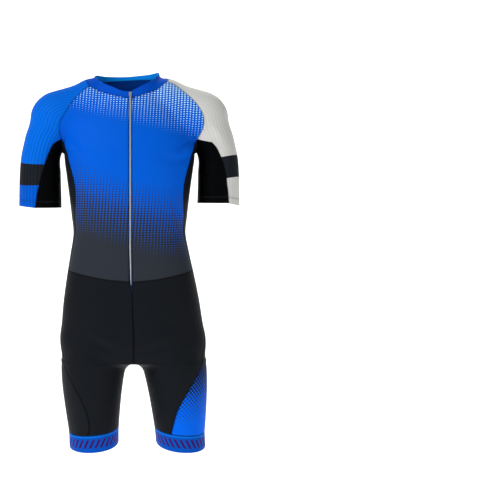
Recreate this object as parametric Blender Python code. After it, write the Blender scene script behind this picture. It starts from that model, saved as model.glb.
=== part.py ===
# Speed skating suit, worn form with no wearer: a short-sleeved, short-legged skinsuit in panels.
# Sizes are millimetres in the tables and metres in the scene. +Z is up, the front faces -Y, the
# wearer's left is +X, and the origin is at the base of the neck, midway between the shoulders.

import math

import bmesh
import bpy
import numpy as np
from mathutils import Matrix, Vector

MM = 0.001
WALL = 1.5
SEAM_GAP = 0.3
POCKET_WALL = 1.2

# The worn figure: a general build in the cut's own size. Each row is one level of the body.
TORSO = {
    "columns": ("height", "half_width", "front_depth", "back_depth"),
    "rows": (
        (-700, 175, 90.5, 102.5),
        (-675, 180.5, 98.5, 117.5),
        (-645, 181.5, 103, 126),
        (-615, 176.5, 104, 128),
        (-555, 169, 104, 121),
        (-495, 159, 103, 108),
        (-435, 147.5, 102, 94),
        (-385, 140, 103, 87),
        (-345, 144, 106, 90),
        (-285, 151, 112, 100),
        (-240, 157, 117, 109),
        (-195, 162.5, 118, 114),
        (-160, 162, 113, 113),
        (-120, 150, 101, 106),
        (-80, 122, 82, 92),
        (-45, 88, 62, 72),
    ),
    "roundness": 2.35,
    "dome_above": 30,
    "dome_below": 6,
}
NECK = {
    "columns": ("height", "centre_out", "half_width", "front_depth", "back_depth"),
    "rows": (
        (-90, -3, 84, 66, 76),
        (-55, -3, 83, 68, 74),
        (-25, -4, 82, 68, 71),
        (0, -5, 80.5, 68, 69),
        (40, -6, 79.5, 68, 68),
    ),
    "roundness": 2.0,
    "dome_above": 20,
    "dome_below": 30,
}
LEG = {
    "columns": ("height", "centre_out", "half_width", "front_depth", "back_depth"),
    "rows": (
        (-960, 108, 60, 71, 71),
        (-920, 108, 61.5, 73.5, 73),
        (-885, 107.5, 62, 76.5, 76),
        (-845, 107.5, 66, 81, 81),
        (-805, 107, 70.6, 85, 87),
        (-750, 104, 77, 90.5, 95.5),
        (-712, 99.5, 81, 93.5, 102.5),
        (-670, 90, 82, 92, 108),
    ),
    "roundness": 2.1,
    "dome_above": 40,
    "dome_below": 40,
}
ARM = {
    "columns": ("height", "centre_out", "half_width", "front_depth", "back_depth"),
    "rows": (
        (-360, 222, 53.5, 56, 56),
        (-300, 222.5, 52.5, 56, 56),
        (-240, 222.5, 51, 56, 57),
        (-195, 220.5, 49.5, 55, 57),
        (-165, 210, 54, 56, 58),
        (-140, 199, 59, 57, 59),
        (-104, 179, 65, 56, 58),
    ),
    "roundness": 2.05,
    "dome_above": 60,
    "dome_below": 40,
}
YOKE_NECK = (88, -69, 68)
YOKE_TIP = (166, -98, 58)
YOKE_DEPTH_SHARE = 0.86

# Below the waist the figure leans to its left side, more and more towards the hems.
SWAY_FROM = -375
SWAY_AT_GRIP = 18.75
SWAY_LENGTH = 510
SWAY_POWER = 1.25

# Where the maker's front and back drawings are looked at from.
EYE_DISTANCE = 2600
EYE_HEIGHT = -280

PIT_OUT = 167.0
FINE_STRIDE = 2.0
BESIDE_CHEST = 166.0
BESIDE_HIPS = 260.0
BESIDE_ARM = 400.0

CROTCH = -702
CROTCH_REACH = 38
CROTCH_LIFT = 34
CROTCH_SHIFT = 26
MEAN_DEPTH = 105

CENTRE_LINE = 2.0
ZIP_HALF_WIDTH = 2.5
ZIP_END = -537
ZIP_TAPER = 30
COLLAR_LEAN = 0.045
NECK_CENTRE = -5.0
NECK_RADIUS = 78.0

# Cells between shared corners of the panels, so that both sides of a seam have the same points.
RAGLAN_ROWS = 6
ARM_ROWS = 8
FRONT_SIDE_ROWS = 14
SHORTS_ROWS = 16
BACK_SIDE_ROWS = 15
LOWER_BACK_ROWS = 4
SEAT_ROWS = 11
INSEAM_ROWS = 6
FRONT_CELLS = 7
BACK_CELLS = 12
SIDE_CELLS = 8
SLEEVE_CELLS = 11
GRIP_ROWS = 2
PIT_FADE_ROWS = 8
BRIDGED_ROWS = 3
PIT_CLEAR = 3
POCKET_TOP = -362

# Seams as routes of (view, first, second): front and back give out and height as drawn there,
# side gives depth and height, top gives out and depth. Out is measured to the named side.
RAGLAN_FRONT = {
    "right": (
        ("front", 100.5, -20),
        ("front", 132.5, -45.5),
        ("front", 152, -73.5),
        ("front", 170, -101.5),
        ("front", 175.5, -129),
        ("pit", -42, 0),
    ),
    "left": (
        ("front", 95, -8),
        ("front", 126, -25),
        ("front", 155, -50),
        ("front", 178, -78),
        ("front", 188, -105.5),
        ("pit", -42, 0),
    ),
}
RAGLAN_BACK = (
    ("nape", 101, 6),
    ("top", 124, 9),
    ("top", 148, 20),
    ("back", 176, -52),
    ("back", 190, -82),
    ("back", 194, -112),
    ("pit", 44, 0),
)
SLEEVE_SEAM_FRONT = {
    "right": (
        ("pit", -42, 0),
        ("front", 183, -158),
        ("front", 197, -178),
        ("front", 206, -199),
        ("front", 219, -242),
        ("front", 228, -275),
        ("front", 236, -325),
    ),
    "left": (
        ("pit", -42, 0),
        ("front", 203, -157.5),
        ("front", 217.5, -173),
        ("front", 230, -200),
        ("front", 244, -254),
        ("front", 249, -313),
    ),
}
SLEEVE_SEAM_BACK = {
    "right": (
        ("pit", 44, 0),
        ("back", 192, -156),
        ("back", 203, -201),
        ("back", 219, -255),
        ("back", 235, -325),
    ),
    "left": (
        ("pit", 44, 0),
        ("back", 206, -158),
        ("back", 220, -211),
        ("back", 236, -265),
        ("back", 246, -313),
    ),
}
SIDE_FRONT_TOP = (
    ("pit", -42, 0),
    ("front", 163, -165),
    ("front", 156, -190),
    ("front", 147, -226),
    ("front", 138, -262),
    ("front", 135.5, -300),
    ("front", 136.5, -340),
    ("side", -40, -388),
    ("side", -30, -430),
    ("side", -26, -479),
)
SIDE_FRONT_LEG = {
    "right": (
        ("side", -26, -479),
        ("side", -20, -560),
        ("side", -22, -640),
        ("front", 174, -717),
        ("front", 161, -752),
        ("front", 143.5, -789),
        ("front", 127, -828),
        ("front", 118.5, -865),
        ("grip", 8, 0),
    ),
    "left": (
        ("side", -26, -479),
        ("side", -20, -560),
        ("side", -28, -640),
        ("front", 169, -717),
        ("front", 149, -757),
        ("front", 125, -797),
        ("front", 106, -828),
        ("front", 93, -865),
        ("grip", -20, 0),
    ),
}
SIDE_BACK = (
    ("pit", 44, 0),
    ("back", 163, -170),
    ("back", 160, -200),
    ("back", 154, -263),
    ("back", 140, -322),
    ("back", 124, -355),
    ("back", 115, -399),
    ("back", 113, -460),
    ("back", 114, -512),
    ("back", 117.5, -555),
    ("back", 127, -603),
    ("back", 142, -650),
    ("back", 157, -688),
    ("back", 160, -717),
    ("back", 151, -763),
    ("back", 138, -810),
    ("back", 123, -855),
    ("grip", 176, 0),
)
SIDE_BACK_CORNERS = (8, 10)
CROWN = (
    ("nape", 102, -16),
    ("top", 126, -14),
    ("top", 158, -6),
    ("top", 196, 0),
    ("outer", 0, -70),
    ("outer", 0, -108),
    ("outer", 0, -150),
    ("outer", 0, -210),
    ("outer", 0, -270),
    ("outer", 0, -319),
)
CROWN_CORNER = (6,)
COLLAR_SEAM_FRONT = ((0, -49.5), (20, -46), (43, -39.5), (69, -31.5), (97, -14))
COLLAR_SEAM_BACK = ((-122, -4), (-145, -1), (180, 0), (145, -1), (122, -4))
COLLAR_TOP = {
    "columns": ("turn", "height"),
    "rows": (
        (-180, 10), (-135, 11), (-95, 10), (-75, 1.5), (-60, -9), (-32, -25), (0, -40),
        (32, -25), (60, -9), (75, 1.5), (95, 10), (135, 11), (180, 10),
    ),
}
WAIST_SEAM = ((0, -507), (60, -505), (115, -494))
GRIP_TOP = {"middle": -874, "outer_drop": 6, "front_drop": 3}
HEM = {"middle": -910, "outer_drop": 5, "front_drop": 9}

ZIP = {"top": -41, "rows": 44, "proud": 0.4, "wall": 2.0}
SLIDER = {"width": 6.5, "length": 9.0, "height": 2.2, "top": -42.5, "cheek": 1.1, "bar": 0.6}
PULL = {"width": 5.0, "length": 14.0, "wall": 1.1, "eye_inner": 1.0, "eye_outer": 1.9, "eye_width": 3.0}

COLOURS = {
    "blue": (0.005, 0.13, 0.80, 1),
    "deep_blue": (0.004, 0.10, 0.62, 1),
    "charcoal": (0.030, 0.035, 0.045, 1),
    "black": (0.008, 0.009, 0.012, 1),
    "white": (0.66, 0.66, 0.64, 1),
    "metal": (0.62, 0.60, 0.57, 1),
}


def smooth_table(keys, values, at):
    """Smooth curve through rows of values, with each slope taken from the rows beside it."""
    keys = np.asarray(keys, float)
    values = np.asarray(values, float)
    slopes = np.gradient(values, keys, axis=0)
    at = np.clip(at, keys[0], keys[-1])
    row = np.clip(np.searchsorted(keys, at, "right") - 1, 0, len(keys) - 2)
    span = keys[row + 1] - keys[row]
    t = (at - keys[row]) / span
    if values.ndim > 1:
        span = span[:, None]
        t = t[:, None]
    start = values[row] * (1 + 2 * t) * (1 - t) ** 2 + slopes[row] * span * t * (1 - t) ** 2
    end = values[row + 1] * t * t * (3 - 2 * t) - slopes[row + 1] * span * t * t * (1 - t)
    return start + end


def smooth_step(low, high, at):
    t = np.clip((at - low) / (high - low), 0, 1)
    return t * t * (3 - 2 * t)


def melt(a, b, reach):
    """Union of two distances, rounded where they meet."""
    share = np.clip(0.5 + 0.5 * (b - a) / reach, 0, 1)
    return b * (1 - share) + a * share - reach * share * (1 - share)


def sway(height):
    below = np.maximum(SWAY_FROM - np.asarray(height, float), 0)
    return SWAY_AT_GRIP * (below / SWAY_LENGTH) ** SWAY_POWER


def limb(form, x, y, z):
    """About the distance to a body of rounded sections, each as wide and deep as its row says."""
    keys = [row[0] for row in form["rows"]]
    values = smooth_table(keys, [row[1:] for row in form["rows"]], z)
    if "centre_out" in form["columns"]:
        x = x - values[:, 0]
        values = values[:, 1:]
    power = form["roundness"]
    depth = np.where(y < 0, values[:, 1], values[:, 2])
    over = np.where(z > 0.5 * (keys[0] + keys[-1]), form["dome_above"], form["dome_below"])
    beyond = np.maximum(z - keys[-1], 0) + np.maximum(keys[0] - z, 0)
    u, v, w = np.abs(x) / values[:, 0], np.abs(y) / depth, beyond / over
    k = np.maximum((u**power + v**power + w**power) ** (1 / power), 1e-6)
    steep = np.sqrt(
        (u ** (power - 1) / values[:, 0]) ** 2
        + (v ** (power - 1) / depth) ** 2
        + (w ** (power - 1) / over) ** 2
    )
    return (k - 1) / np.maximum(steep * k ** (1 - power), 1e-5)


def yoke(x, y, z):
    """The slope from the neck to the shoulder tip, a tapered rod on each side."""
    start = np.array(YOKE_NECK[:2], float)
    run = np.array(YOKE_TIP[:2], float) - start
    t = np.clip(((x - start[0]) * run[0] + (z - start[1]) * run[1]) / (run @ run), 0, 1)
    radius = YOKE_NECK[2] + t * (YOKE_TIP[2] - YOKE_NECK[2])
    across = np.sqrt((x - start[0] - t * run[0]) ** 2 + (z - start[1] - t * run[1]) ** 2
                     + (y / YOKE_DEPTH_SHARE) ** 2)
    return across - radius


def figure(points):
    """Distance in millimetres from the outside of the worn suit, less than 0 inside it."""
    points = np.asarray(points, float)
    z = points[:, 2]
    x = points[:, 0] - sway(z)
    y = points[:, 1]
    body = melt(limb(TORSO, x, y, z), limb(NECK, x, y, z), 24)
    body = melt(body, yoke(np.abs(x), y, z), 9 + 27 * smooth_step(84, 125, np.abs(x)))
    body = melt(body, limb(ARM, np.abs(x), y, z), 7 + 36 * smooth_step(-165, -105, z))
    legs = melt(limb(LEG, x, y, z), limb(LEG, -x, y, z), 20)
    return melt(body, legs, 8 + 30 * np.exp(-((x / 40) ** 2)))


def outward(points):
    """Unit normals of the figure."""
    points = np.asarray(points, float)
    step = 0.5
    slope = np.stack(
        [figure(points + step * axis) - figure(points - step * axis) for axis in np.eye(3)], axis=1
    )
    return slope / np.linalg.norm(slope, axis=1, keepdims=True)


def settled(points):
    """The points moved straight onto the figure."""
    points = np.array(points, float)
    for _ in range(12):
        points -= figure(points)[:, None] * outward(points)
    return points


def cast(start, direction, sign, reach, stride=8.0):
    """Where rays first pass the figure: sign 1 from inside going out, -1 from outside going in."""
    start = np.atleast_2d(np.asarray(start, float))
    direction = np.atleast_2d(np.asarray(direction, float))
    direction = direction / np.linalg.norm(direction, axis=1, keepdims=True)
    start, direction = np.broadcast_arrays(start, direction)
    steps = np.arange(0, reach, stride)
    near = np.zeros(len(start))
    found = np.zeros(len(start), bool)
    for step in steps:
        passed = sign * figure(start + step * direction) > 0
        near = np.where(found | passed, near, step)
        found |= passed
    far = near + stride
    for _ in range(24):
        middle = 0.5 * (near + far)
        passed = sign * figure(start + middle[:, None] * direction) > 0
        far = np.where(passed, middle, far)
        near = np.where(passed, near, middle)
    return start + near[:, None] * direction


def body_axis(height, side):
    """A line inside the torso that runs down into the leg of one side."""
    out = smooth_table((-960, -805, -712, -600, -480, -250, -150), (108, 107, 98, 80, 55, 40, 30), height)
    return np.stack([side * out + sway(height), 0 * out, height], axis=1)


def grip_point(ring, side, turns):
    """Points on the leg at a ring's height. Turns start at the front and go round the outside."""
    turns = np.radians(np.asarray(turns, float))
    out = np.sin(turns)
    height = ring["middle"] - ring["outer_drop"] * out - ring["front_drop"] * np.maximum(np.cos(turns), 0)
    axis = body_axis(height, side)
    direction = np.stack([side * out, -np.cos(turns), 0 * out], axis=1)
    return cast(axis, direction, 1, 150)


def pit_point(depth, side):
    """A point of the armpit, found by looking up between the arm and the body."""
    return cast((side * PIT_OUT, depth, -330.0), (0, 0, 1), -1, 300, FINE_STRIDE)[0]


def spot(view, first, second, side):
    """One point of a route, on the figure."""
    eye = {"front": -EYE_DISTANCE, "back": EYE_DISTANCE}
    if view in eye:
        target = np.array([side * first + sway(second), 0.0, second])
        origin = np.array([0.0, eye[view], EYE_HEIGHT])
        line = target - origin
        near = origin + line * (1 - 260 / EYE_DISTANCE)
        return cast(near, line, -1, 300)[0]
    if view == "side":
        out = BESIDE_HIPS if second < -420 else BESIDE_CHEST
        return cast((side * out, first, second), (-side, 0, 0), -1, 250)[0]
    if view == "outer":
        return cast((side * BESIDE_ARM, first, second), (-side, 0, 0), -1, 300)[0]
    if view == "nape":
        return cast((NECK_CENTRE + side * first, second, 120.0), (0, 0, -1), -1, 250)[0]
    if view == "top":
        return cast((side * first, second, 120.0), (0, 0, -1), -1, 250)[0]
    if view == "pit":
        return pit_point(first, side)
    return grip_point(GRIP_TOP, side, [first])[0]


def spread(points, cells, corners=()):
    """A smooth line through points, in even cells, with a named number of cells between corners."""
    points = np.asarray(points, float)
    along = np.concatenate([[0], np.cumsum(np.linalg.norm(np.diff(points, axis=0), axis=1))])
    stops = [0, *corners, len(points) - 1]
    at = [np.linspace(along[a], along[b], n + 1)[:-1] for a, b, n in zip(stops, stops[1:], cells)]
    line = smooth_table(along, points, np.concatenate([*at, along[-1:]]))
    return settled(line)


def route(rows, side, cells, corners=()):
    return spread([spot(*row, side) for row in rows], cells, corners)


def turn_of(points, centres, side, lowest):
    """Turn of each point round its centre in degrees: 0 in front, 90 outside, from the lowest up."""
    reach = points - centres
    turns = np.degrees(np.arctan2(side * reach[:, 0], -reach[:, 1]))
    return (turns - lowest) % 360 + lowest


def turned_out(centres, starts, ends, side):
    """Level directions half the way round from the starts to the ends by the outside."""
    turns = 0.5 * (turn_of(starts, centres, side, -90) + turn_of(ends, centres, side, -90))
    turns = np.radians(turns)
    return np.stack([side * np.sin(turns), -np.cos(turns), 0 * turns], axis=1)


def between(centres, starts, ends, side, lowest):
    """Points on the figure half the way round from the starts to the ends, at their mean height."""
    turns = 0.5 * (turn_of(starts, centres, side, lowest) + turn_of(ends, centres, side, lowest))
    turns = np.radians(turns)
    drop = (0.5 * (starts[:, 2] + ends[:, 2]) - centres[:, 2]) / MEAN_DEPTH
    aims = np.stack([side * np.sin(turns), -np.cos(turns), drop], axis=1)
    return cast(centres, aims, 1, 320, FINE_STRIDE)


def above_crotch(levels, side):
    """Ray centres down one side, raised beside the crotch so that they look down on it."""
    centres = body_axis(levels, side)
    near = np.exp(-(((levels - CROTCH) / CROTCH_REACH) ** 2))
    centres[:, 2] += CROTCH_LIFT * near
    centres[:, 0] -= side * CROTCH_SHIFT * near
    return centres


def bridged(grid, rows):
    """The first rows filled in evenly between the armpit seam and the first row clear of it."""
    for row in range(1, rows):
        share = row / rows
        grid[row][1:-1] = settled(grid[0][1:-1] * (1 - share) + grid[rows][1:-1] * share)
    return grid


def fan(centres, starts, middles, ends, cells):
    """Rows of points on the figure, each a smooth sweep of rays from its centre."""
    rows = []
    for centre, start, middle, end in zip(centres, starts, middles, ends):
        aims = np.array([start, middle, end]) - centre
        aims /= np.linalg.norm(aims, axis=1, keepdims=True)
        turns = np.arccos(np.clip(np.sum(aims[1:] * aims[:-1], axis=1), -1, 1))
        angles = np.concatenate([[0], np.cumsum(turns)])
        rows.append(smooth_table(angles, aims, np.linspace(0, angles[-1], cells + 1)))
    aims = np.array(rows)
    origins = np.repeat(np.asarray(centres)[:, None, :], cells + 1, axis=1)
    grid = cast(origins.reshape(-1, 3), aims.reshape(-1, 3), 1, 320, FINE_STRIDE).reshape(aims.shape)
    grid[:, 0] = starts
    grid[:, -1] = ends
    return grid


def centre_line(heights, front, out=CENTRE_LINE):
    """Points down the middle of the front or the back."""
    heights = np.asarray(heights, float)
    levels = heights if front else np.minimum(heights, -150)
    centres = np.stack([sway(heights) + out, 0 * heights, levels], axis=1)
    ahead = np.full(len(heights), -90.0 if front else 90.0)
    return cast(centres, np.stack([0 * heights, ahead, heights - levels], axis=1), 1, 320)


def collar_seam(side, shares):
    """The front half of the neck seam on one side, from the centre line to the sleeve."""
    drawn = [spot("front", out, height + side * COLLAR_LEAN * out, side) for out, height in COLLAR_SEAM_FRONT[1:-1]]
    start = spot("front", side * CENTRE_LINE, COLLAR_SEAM_FRONT[0][1], side)
    name = "left" if side > 0 else "right"
    end = spot(*RAGLAN_FRONT[name][0], side)
    return spread([start, *drawn, end], [shares])


class Seams:
    """Every seam of one side of the suit, as points shared by the pieces on both sides of it."""

    def __init__(self, side):
        name = "left" if side > 0 else "right"
        self.side = side
        self.neck_front = collar_seam(side, FRONT_CELLS)
        self.raglan_front = route(RAGLAN_FRONT[name], side, [RAGLAN_ROWS])
        self.raglan_back = route(RAGLAN_BACK, side, [RAGLAN_ROWS])
        self.sleeve_front = route(SLEEVE_SEAM_FRONT[name], side, [ARM_ROWS])
        self.sleeve_back = route(SLEEVE_SEAM_BACK[name], side, [ARM_ROWS])
        self.side_front_top = route(SIDE_FRONT_TOP, side, [FRONT_SIDE_ROWS])
        self.side_front_leg = route(SIDE_FRONT_LEG[name], side, [SHORTS_ROWS])
        self.side_back = route(SIDE_BACK, side, [BACK_SIDE_ROWS, LOWER_BACK_ROWS, SEAT_ROWS], SIDE_BACK_CORNERS)
        self.pit = self.pit_line()
        crotch = cast((sway(-700), 0.0, -620.0), (0, 0, -1), 1, 200)[0]
        self.inseam = self.inseam_line(crotch)
        self.centre_front = centre_line(self.front_levels(), True)
        shorts = np.linspace(self.centre_front[-1, 2], -640, 6)
        under = [crotch]
        self.centre_shorts = spread(
            np.concatenate([centre_line(shorts, True), self.crotch_curve(-1), under]),
            [SHORTS_ROWS - INSEAM_ROWS],
        )

    def front_levels(self):
        upper = np.linspace(self.neck_front[0, 2], -172, RAGLAN_ROWS + 1)
        lower = np.linspace(-172, -501, FRONT_SIDE_ROWS + 1)
        return np.concatenate([upper, lower[1:]])

    def crotch_curve(self, front):
        """Two points round the curve under the body, between its front or back and the crotch."""
        turns = np.radians([35, 68])
        aims = np.stack([0 * turns, front * np.cos(turns), -np.sin(turns)], axis=1)
        return cast((sway(-690), 0.0, -640.0), aims, 1, 200)

    def pit_line(self):
        depths = np.linspace(self.raglan_front[-1, 1], self.raglan_back[-1, 1], SIDE_CELLS + 1)
        inner = [pit_point(depth, self.side) for depth in depths[1:-1]]
        return np.array([self.raglan_front[-1], *inner, self.raglan_back[-1]])

    def inseam_line(self, crotch):
        end = grip_point(GRIP_TOP, self.side, [-90])[0]
        share = (np.arange(1, INSEAM_ROWS) / INSEAM_ROWS) ** 1.35
        heights = crotch[2] + share * (end[2] - crotch[2])
        axis = body_axis(heights, self.side)
        points = cast(axis, (-self.side, 0, 0), 1, 200)
        return np.array([crotch, *points, end])


def neck_point(turns, heights):
    """Points round the neck: turns start at the front and are positive towards the left side."""
    turns = np.radians(np.atleast_1d(np.asarray(turns, float)))
    heights = heights + COLLAR_LEAN * NECK_RADIUS * np.sin(turns)
    centres = np.stack([0 * heights + NECK_CENTRE, 0 * heights, heights], axis=1)
    aims = np.stack([np.sin(turns), -np.cos(turns), 0 * turns], axis=1)
    return cast(centres, aims, 1, 150)


def collar_top_line(turns):
    rows = COLLAR_TOP["rows"]
    turns = (turns + 180) % 360 - 180
    heights = smooth_table([row[0] for row in rows], [row[1] for row in rows], turns)
    return neck_point(turns, heights)


def inset_edge(line, inner, normals, gap):
    """A panel's edge drawn back from the seam by half the gap, within the cloth."""
    tangents = np.gradient(line, axis=0)
    across = np.cross(normals, tangents)
    across /= np.linalg.norm(across, axis=1, keepdims=True)
    across *= np.sign(np.sum(across * (inner - line), axis=1, keepdims=True))
    return gap * across


def drawn_back(grid, gaps):
    """The grid with its first row, last row, first column and last column drawn back by the gaps."""
    rows, columns, _ = grid.shape
    normals = outward(grid.reshape(-1, 3)).reshape(grid.shape)
    moves = np.zeros_like(grid)
    edges = (
        ((0, slice(None)), (1, slice(None)), gaps[0]),
        ((rows - 1, slice(None)), (rows - 2, slice(None)), gaps[1]),
        ((slice(None), 0), (slice(None), 1), gaps[2]),
        ((slice(None), columns - 1), (slice(None), columns - 2), gaps[3]),
    )
    for edge, beside, gap in edges:
        if np.any(gap):
            gap = np.broadcast_to(gap, len(grid[edge]))[:, None]
            moves[edge] += inset_edge(grid[edge], grid[beside], normals[edge], gap)
    return settled((grid + moves).reshape(-1, 3)).reshape(grid.shape)


def cloth(name, grid, colour, around=False, proud=0.0, wall=WALL, roughness=0.5):
    """A closed cloth wall on a grid of outer points. Around joins the last column to the first."""
    rows, columns, _ = grid.shape
    flat = grid.reshape(-1, 3)
    normals = outward(flat)
    outer = flat + proud * normals
    inner = outer - wall * normals
    mesh = bmesh.new()
    layers = [[mesh.verts.new(Vector(point) * MM) for point in layer] for layer in (outer, inner)]
    last = columns if around else columns - 1

    def vertex(layer, row, column):
        return layers[layer][row * columns + column % columns]

    for row in range(rows - 1):
        for column in range(last):
            ring = [(row, column), (row, column + 1), (row + 1, column + 1), (row + 1, column)]
            for layer in (0, 1):
                mesh.faces.new([vertex(layer, *place) for place in ring[:: 1 - 2 * layer]])
    for row in (0, rows - 1):
        for column in range(last):
            ends = [(row, column), (row, column + 1)]
            mesh.faces.new([vertex(0, *p) for p in ends] + [vertex(1, *p) for p in ends[::-1]])
    if not around:
        for column in (0, columns - 1):
            for row in range(rows - 1):
                ends = [(row, column), (row + 1, column)]
                mesh.faces.new([vertex(0, *p) for p in ends] + [vertex(1, *p) for p in ends[::-1]])
    bmesh.ops.recalc_face_normals(mesh, faces=mesh.faces)
    return add_object(name, mesh, colour, roughness)


def add_object(name, mesh, colour, roughness=0.5, metallic=0.0):
    data = bpy.data.meshes.new(name)
    mesh.to_mesh(data)
    mesh.free()
    data.shade_smooth()
    data.set_sharp_from_angle(angle=math.radians(40))
    obj = bpy.data.objects.new(name, data)
    suit_collection().objects.link(obj)
    paint(obj, colour, roughness, metallic)
    return obj


def paint(obj, colour, roughness, metallic):
    material = bpy.data.materials.new(obj.name + "_finish")
    material.use_nodes = True
    shader = material.node_tree.nodes["Principled BSDF"]
    shader.inputs["Base Color"].default_value = COLOURS[colour]
    shader.inputs["Roughness"].default_value = roughness
    shader.inputs["Metallic"].default_value = metallic
    obj.data.materials.append(material)


def suit_collection():
    name = "Speed skating suit"
    found = bpy.data.collections.get(name)
    if found is None:
        found = bpy.data.collections.new(name)
        bpy.context.scene.collection.children.link(found)
    return found


def zip_gap(grid):
    """Half the width of what lies between the two fronts at each row."""
    half = SEAM_GAP / 2
    taper = np.clip((grid[:, 0, 2] - ZIP_END) / ZIP_TAPER, 0, 1)
    return half + (ZIP_HALF_WIDTH + half) * taper


def front_panel(seams):
    outer = np.concatenate([seams.raglan_front, seams.side_front_top[1:]])
    centre = seams.centre_front
    levels = np.minimum(0.5 * (outer[:, 2] + centre[:, 2]), -150)
    centres = body_axis(levels, seams.side)
    aims = outer - centres + centre - centres
    middles = cast(centres, aims, 1, 320)
    grid = fan(centres, centre, middles, outer, FRONT_CELLS)
    grid[0] = seams.neck_front
    grid[-1] = waist_line(seams)
    return grid


def waist_line(seams):
    """The seam between the front and the shorts of one side."""
    side = seams.side
    drawn = [spot("front", out, height, side) for out, height in WAIST_SEAM[1:]]
    return spread([seams.centre_front[-1], *drawn, seams.side_front_top[-1]], [FRONT_CELLS])


def shorts_panel(seams):
    outer = seams.side_front_leg
    inner = np.concatenate([seams.centre_shorts, seams.inseam[1:]])
    levels = 0.5 * (outer[:, 2] + inner[:, 2])
    centres = above_crotch(levels, seams.side)
    middles = between(centres, inner, outer, seams.side, -180)
    grid = fan(centres, inner, middles, outer, FRONT_CELLS)
    grid[0] = waist_line(seams)
    return with_grip_row(grid, seams.side)


def with_grip_row(grid, side):
    """The last row laid exactly along the top of the gripper."""
    centre = body_axis(grid[-1][:, 2], side)
    reach = grid[-1] - centre
    turns = np.unwrap(np.arctan2(side * reach[:, 0], -reach[:, 1]))
    even = np.degrees(np.linspace(turns[0], turns[-1], len(turns)))
    ends = grid[-1][[0, -1]]
    grid[-1] = grip_point(GRIP_TOP, side, even)
    grid[-1][[0, -1]] = ends
    return grid


def below_pit(levels, seams):
    """The levels of rows that start along the armpit seam, where their middles hang lower."""
    hang = seams.pit[:, 2].min() - levels[0]
    share = np.clip(1 - np.arange(len(levels)) / PIT_FADE_ROWS, 0, 1) ** 1.5
    return levels + (hang - PIT_CLEAR) * share


def side_panel(seams):
    front = np.concatenate([seams.side_front_top, seams.side_front_leg[1:]])
    back = seams.side_back
    levels = below_pit(0.5 * (front[:, 2] + back[:, 2]), seams)
    centres = body_axis(levels, seams.side)
    middles = cast(centres, turned_out(centres, front, back, seams.side), 1, 320, FINE_STRIDE)
    grid = fan(centres, front, middles, back, SIDE_CELLS)
    grid[0] = seams.pit
    return with_grip_row(bridged(grid, BRIDGED_ROWS), seams.side)


def seat_panel(seams, yoke_row):
    outer = seams.side_back[BACK_SIDE_ROWS + LOWER_BACK_ROWS:]
    crotch = seams.inseam[0]
    centre = spread(np.array([yoke_row[0], *centre_line([-650], False, 0), *seams.crotch_curve(1), crotch]),
                    [SEAT_ROWS - INSEAM_ROWS])
    inner = np.concatenate([centre, seams.inseam[1:]])
    levels = 0.5 * (outer[:, 2] + inner[:, 2])
    centres = above_crotch(levels, seams.side)
    middles = between(centres, inner, outer, seams.side, 0)
    grid = fan(centres, inner, middles, outer, BACK_CELLS // 2)
    grid[0] = yoke_row
    return with_grip_row(grid, seams.side)


def back_grid(left, right):
    """The back and lower back in one sweep, from the neck to the seat."""
    rows = RAGLAN_ROWS + BACK_SIDE_ROWS + LOWER_BACK_ROWS
    edges = [np.concatenate([seams.raglan_back, seams.side_back[1: rows - RAGLAN_ROWS + 1]]) for seams in (right, left)]
    levels = 0.5 * (edges[0][:, 2] + edges[1][:, 2])
    dips = smooth_table((-620, -560, -512, -400, -180, -100, -10), (-2, -8, -22, -4, -8, -12, 8), levels)
    middles = centre_line(levels + dips, False, 0)
    heights = np.minimum(levels, -150)
    centres = np.stack([sway(heights), 0 * heights, heights], axis=1)
    grid = fan(centres, edges[0], middles, edges[1], BACK_CELLS)
    neck = [neck_point(turn, height)[0] for turn, height in COLLAR_SEAM_BACK]
    grid[0] = spread([edges[0][0], *neck, edges[1][0]], [BACK_CELLS])
    return grid


def sleeve_panel(seams):
    side = seams.side
    front = np.concatenate([seams.raglan_front, seams.sleeve_front[1:]])
    back = np.concatenate([seams.raglan_back, seams.sleeve_back[1:]])
    keys = (0, 0.45 * RAGLAN_ROWS, RAGLAN_ROWS, RAGLAN_ROWS + ARM_ROWS)
    share = np.arange(len(front), dtype=float)
    level = 0.5 * (front[:, 2] + back[:, 2])
    out = smooth_table(keys, (70, 130, 205, 222), share)
    height = np.where(share <= RAGLAN_ROWS, smooth_table(keys, (-90, -104, -146, -325), share), level)
    centres = np.stack([side * out, 0 * out, height], axis=1)
    crown = route(CROWN, side, [RAGLAN_ROWS, ARM_ROWS], CROWN_CORNER)
    return fan(centres, front, crown, back, SLEEVE_CELLS)


def under_sleeve_panel(seams):
    front, back = seams.sleeve_front, seams.sleeve_back
    level = below_pit(0.5 * (front[:, 2] + back[:, 2]), seams)
    out = smooth_table((-330, -240, -195, -165), (222, 222, 219, 210), level)
    centres = np.stack([seams.side * out, 0 * out, level], axis=1)
    middles = cast(centres, turned_out(centres, front, back, -seams.side), 1, 320, FINE_STRIDE)
    grid = fan(centres, front, middles, back, SIDE_CELLS)
    grid[0] = seams.pit
    return bridged(grid, BRIDGED_ROWS)


def grip_panel(seams, rings):
    """The gripper's ring, from the panels' last points down to the hem."""
    top = np.concatenate([ring[:-1] for ring in rings])
    reach = top - body_axis(top[:, 2], seams.side)
    turns = np.degrees(np.arctan2(seams.side * reach[:, 0], -reach[:, 1]))
    hem = grip_point(HEM, seams.side, turns)
    rows = [top]
    for row in range(1, GRIP_ROWS):
        rows.append(settled(top + (hem - top) * row / GRIP_ROWS))
    return np.array([*rows, hem])


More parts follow.
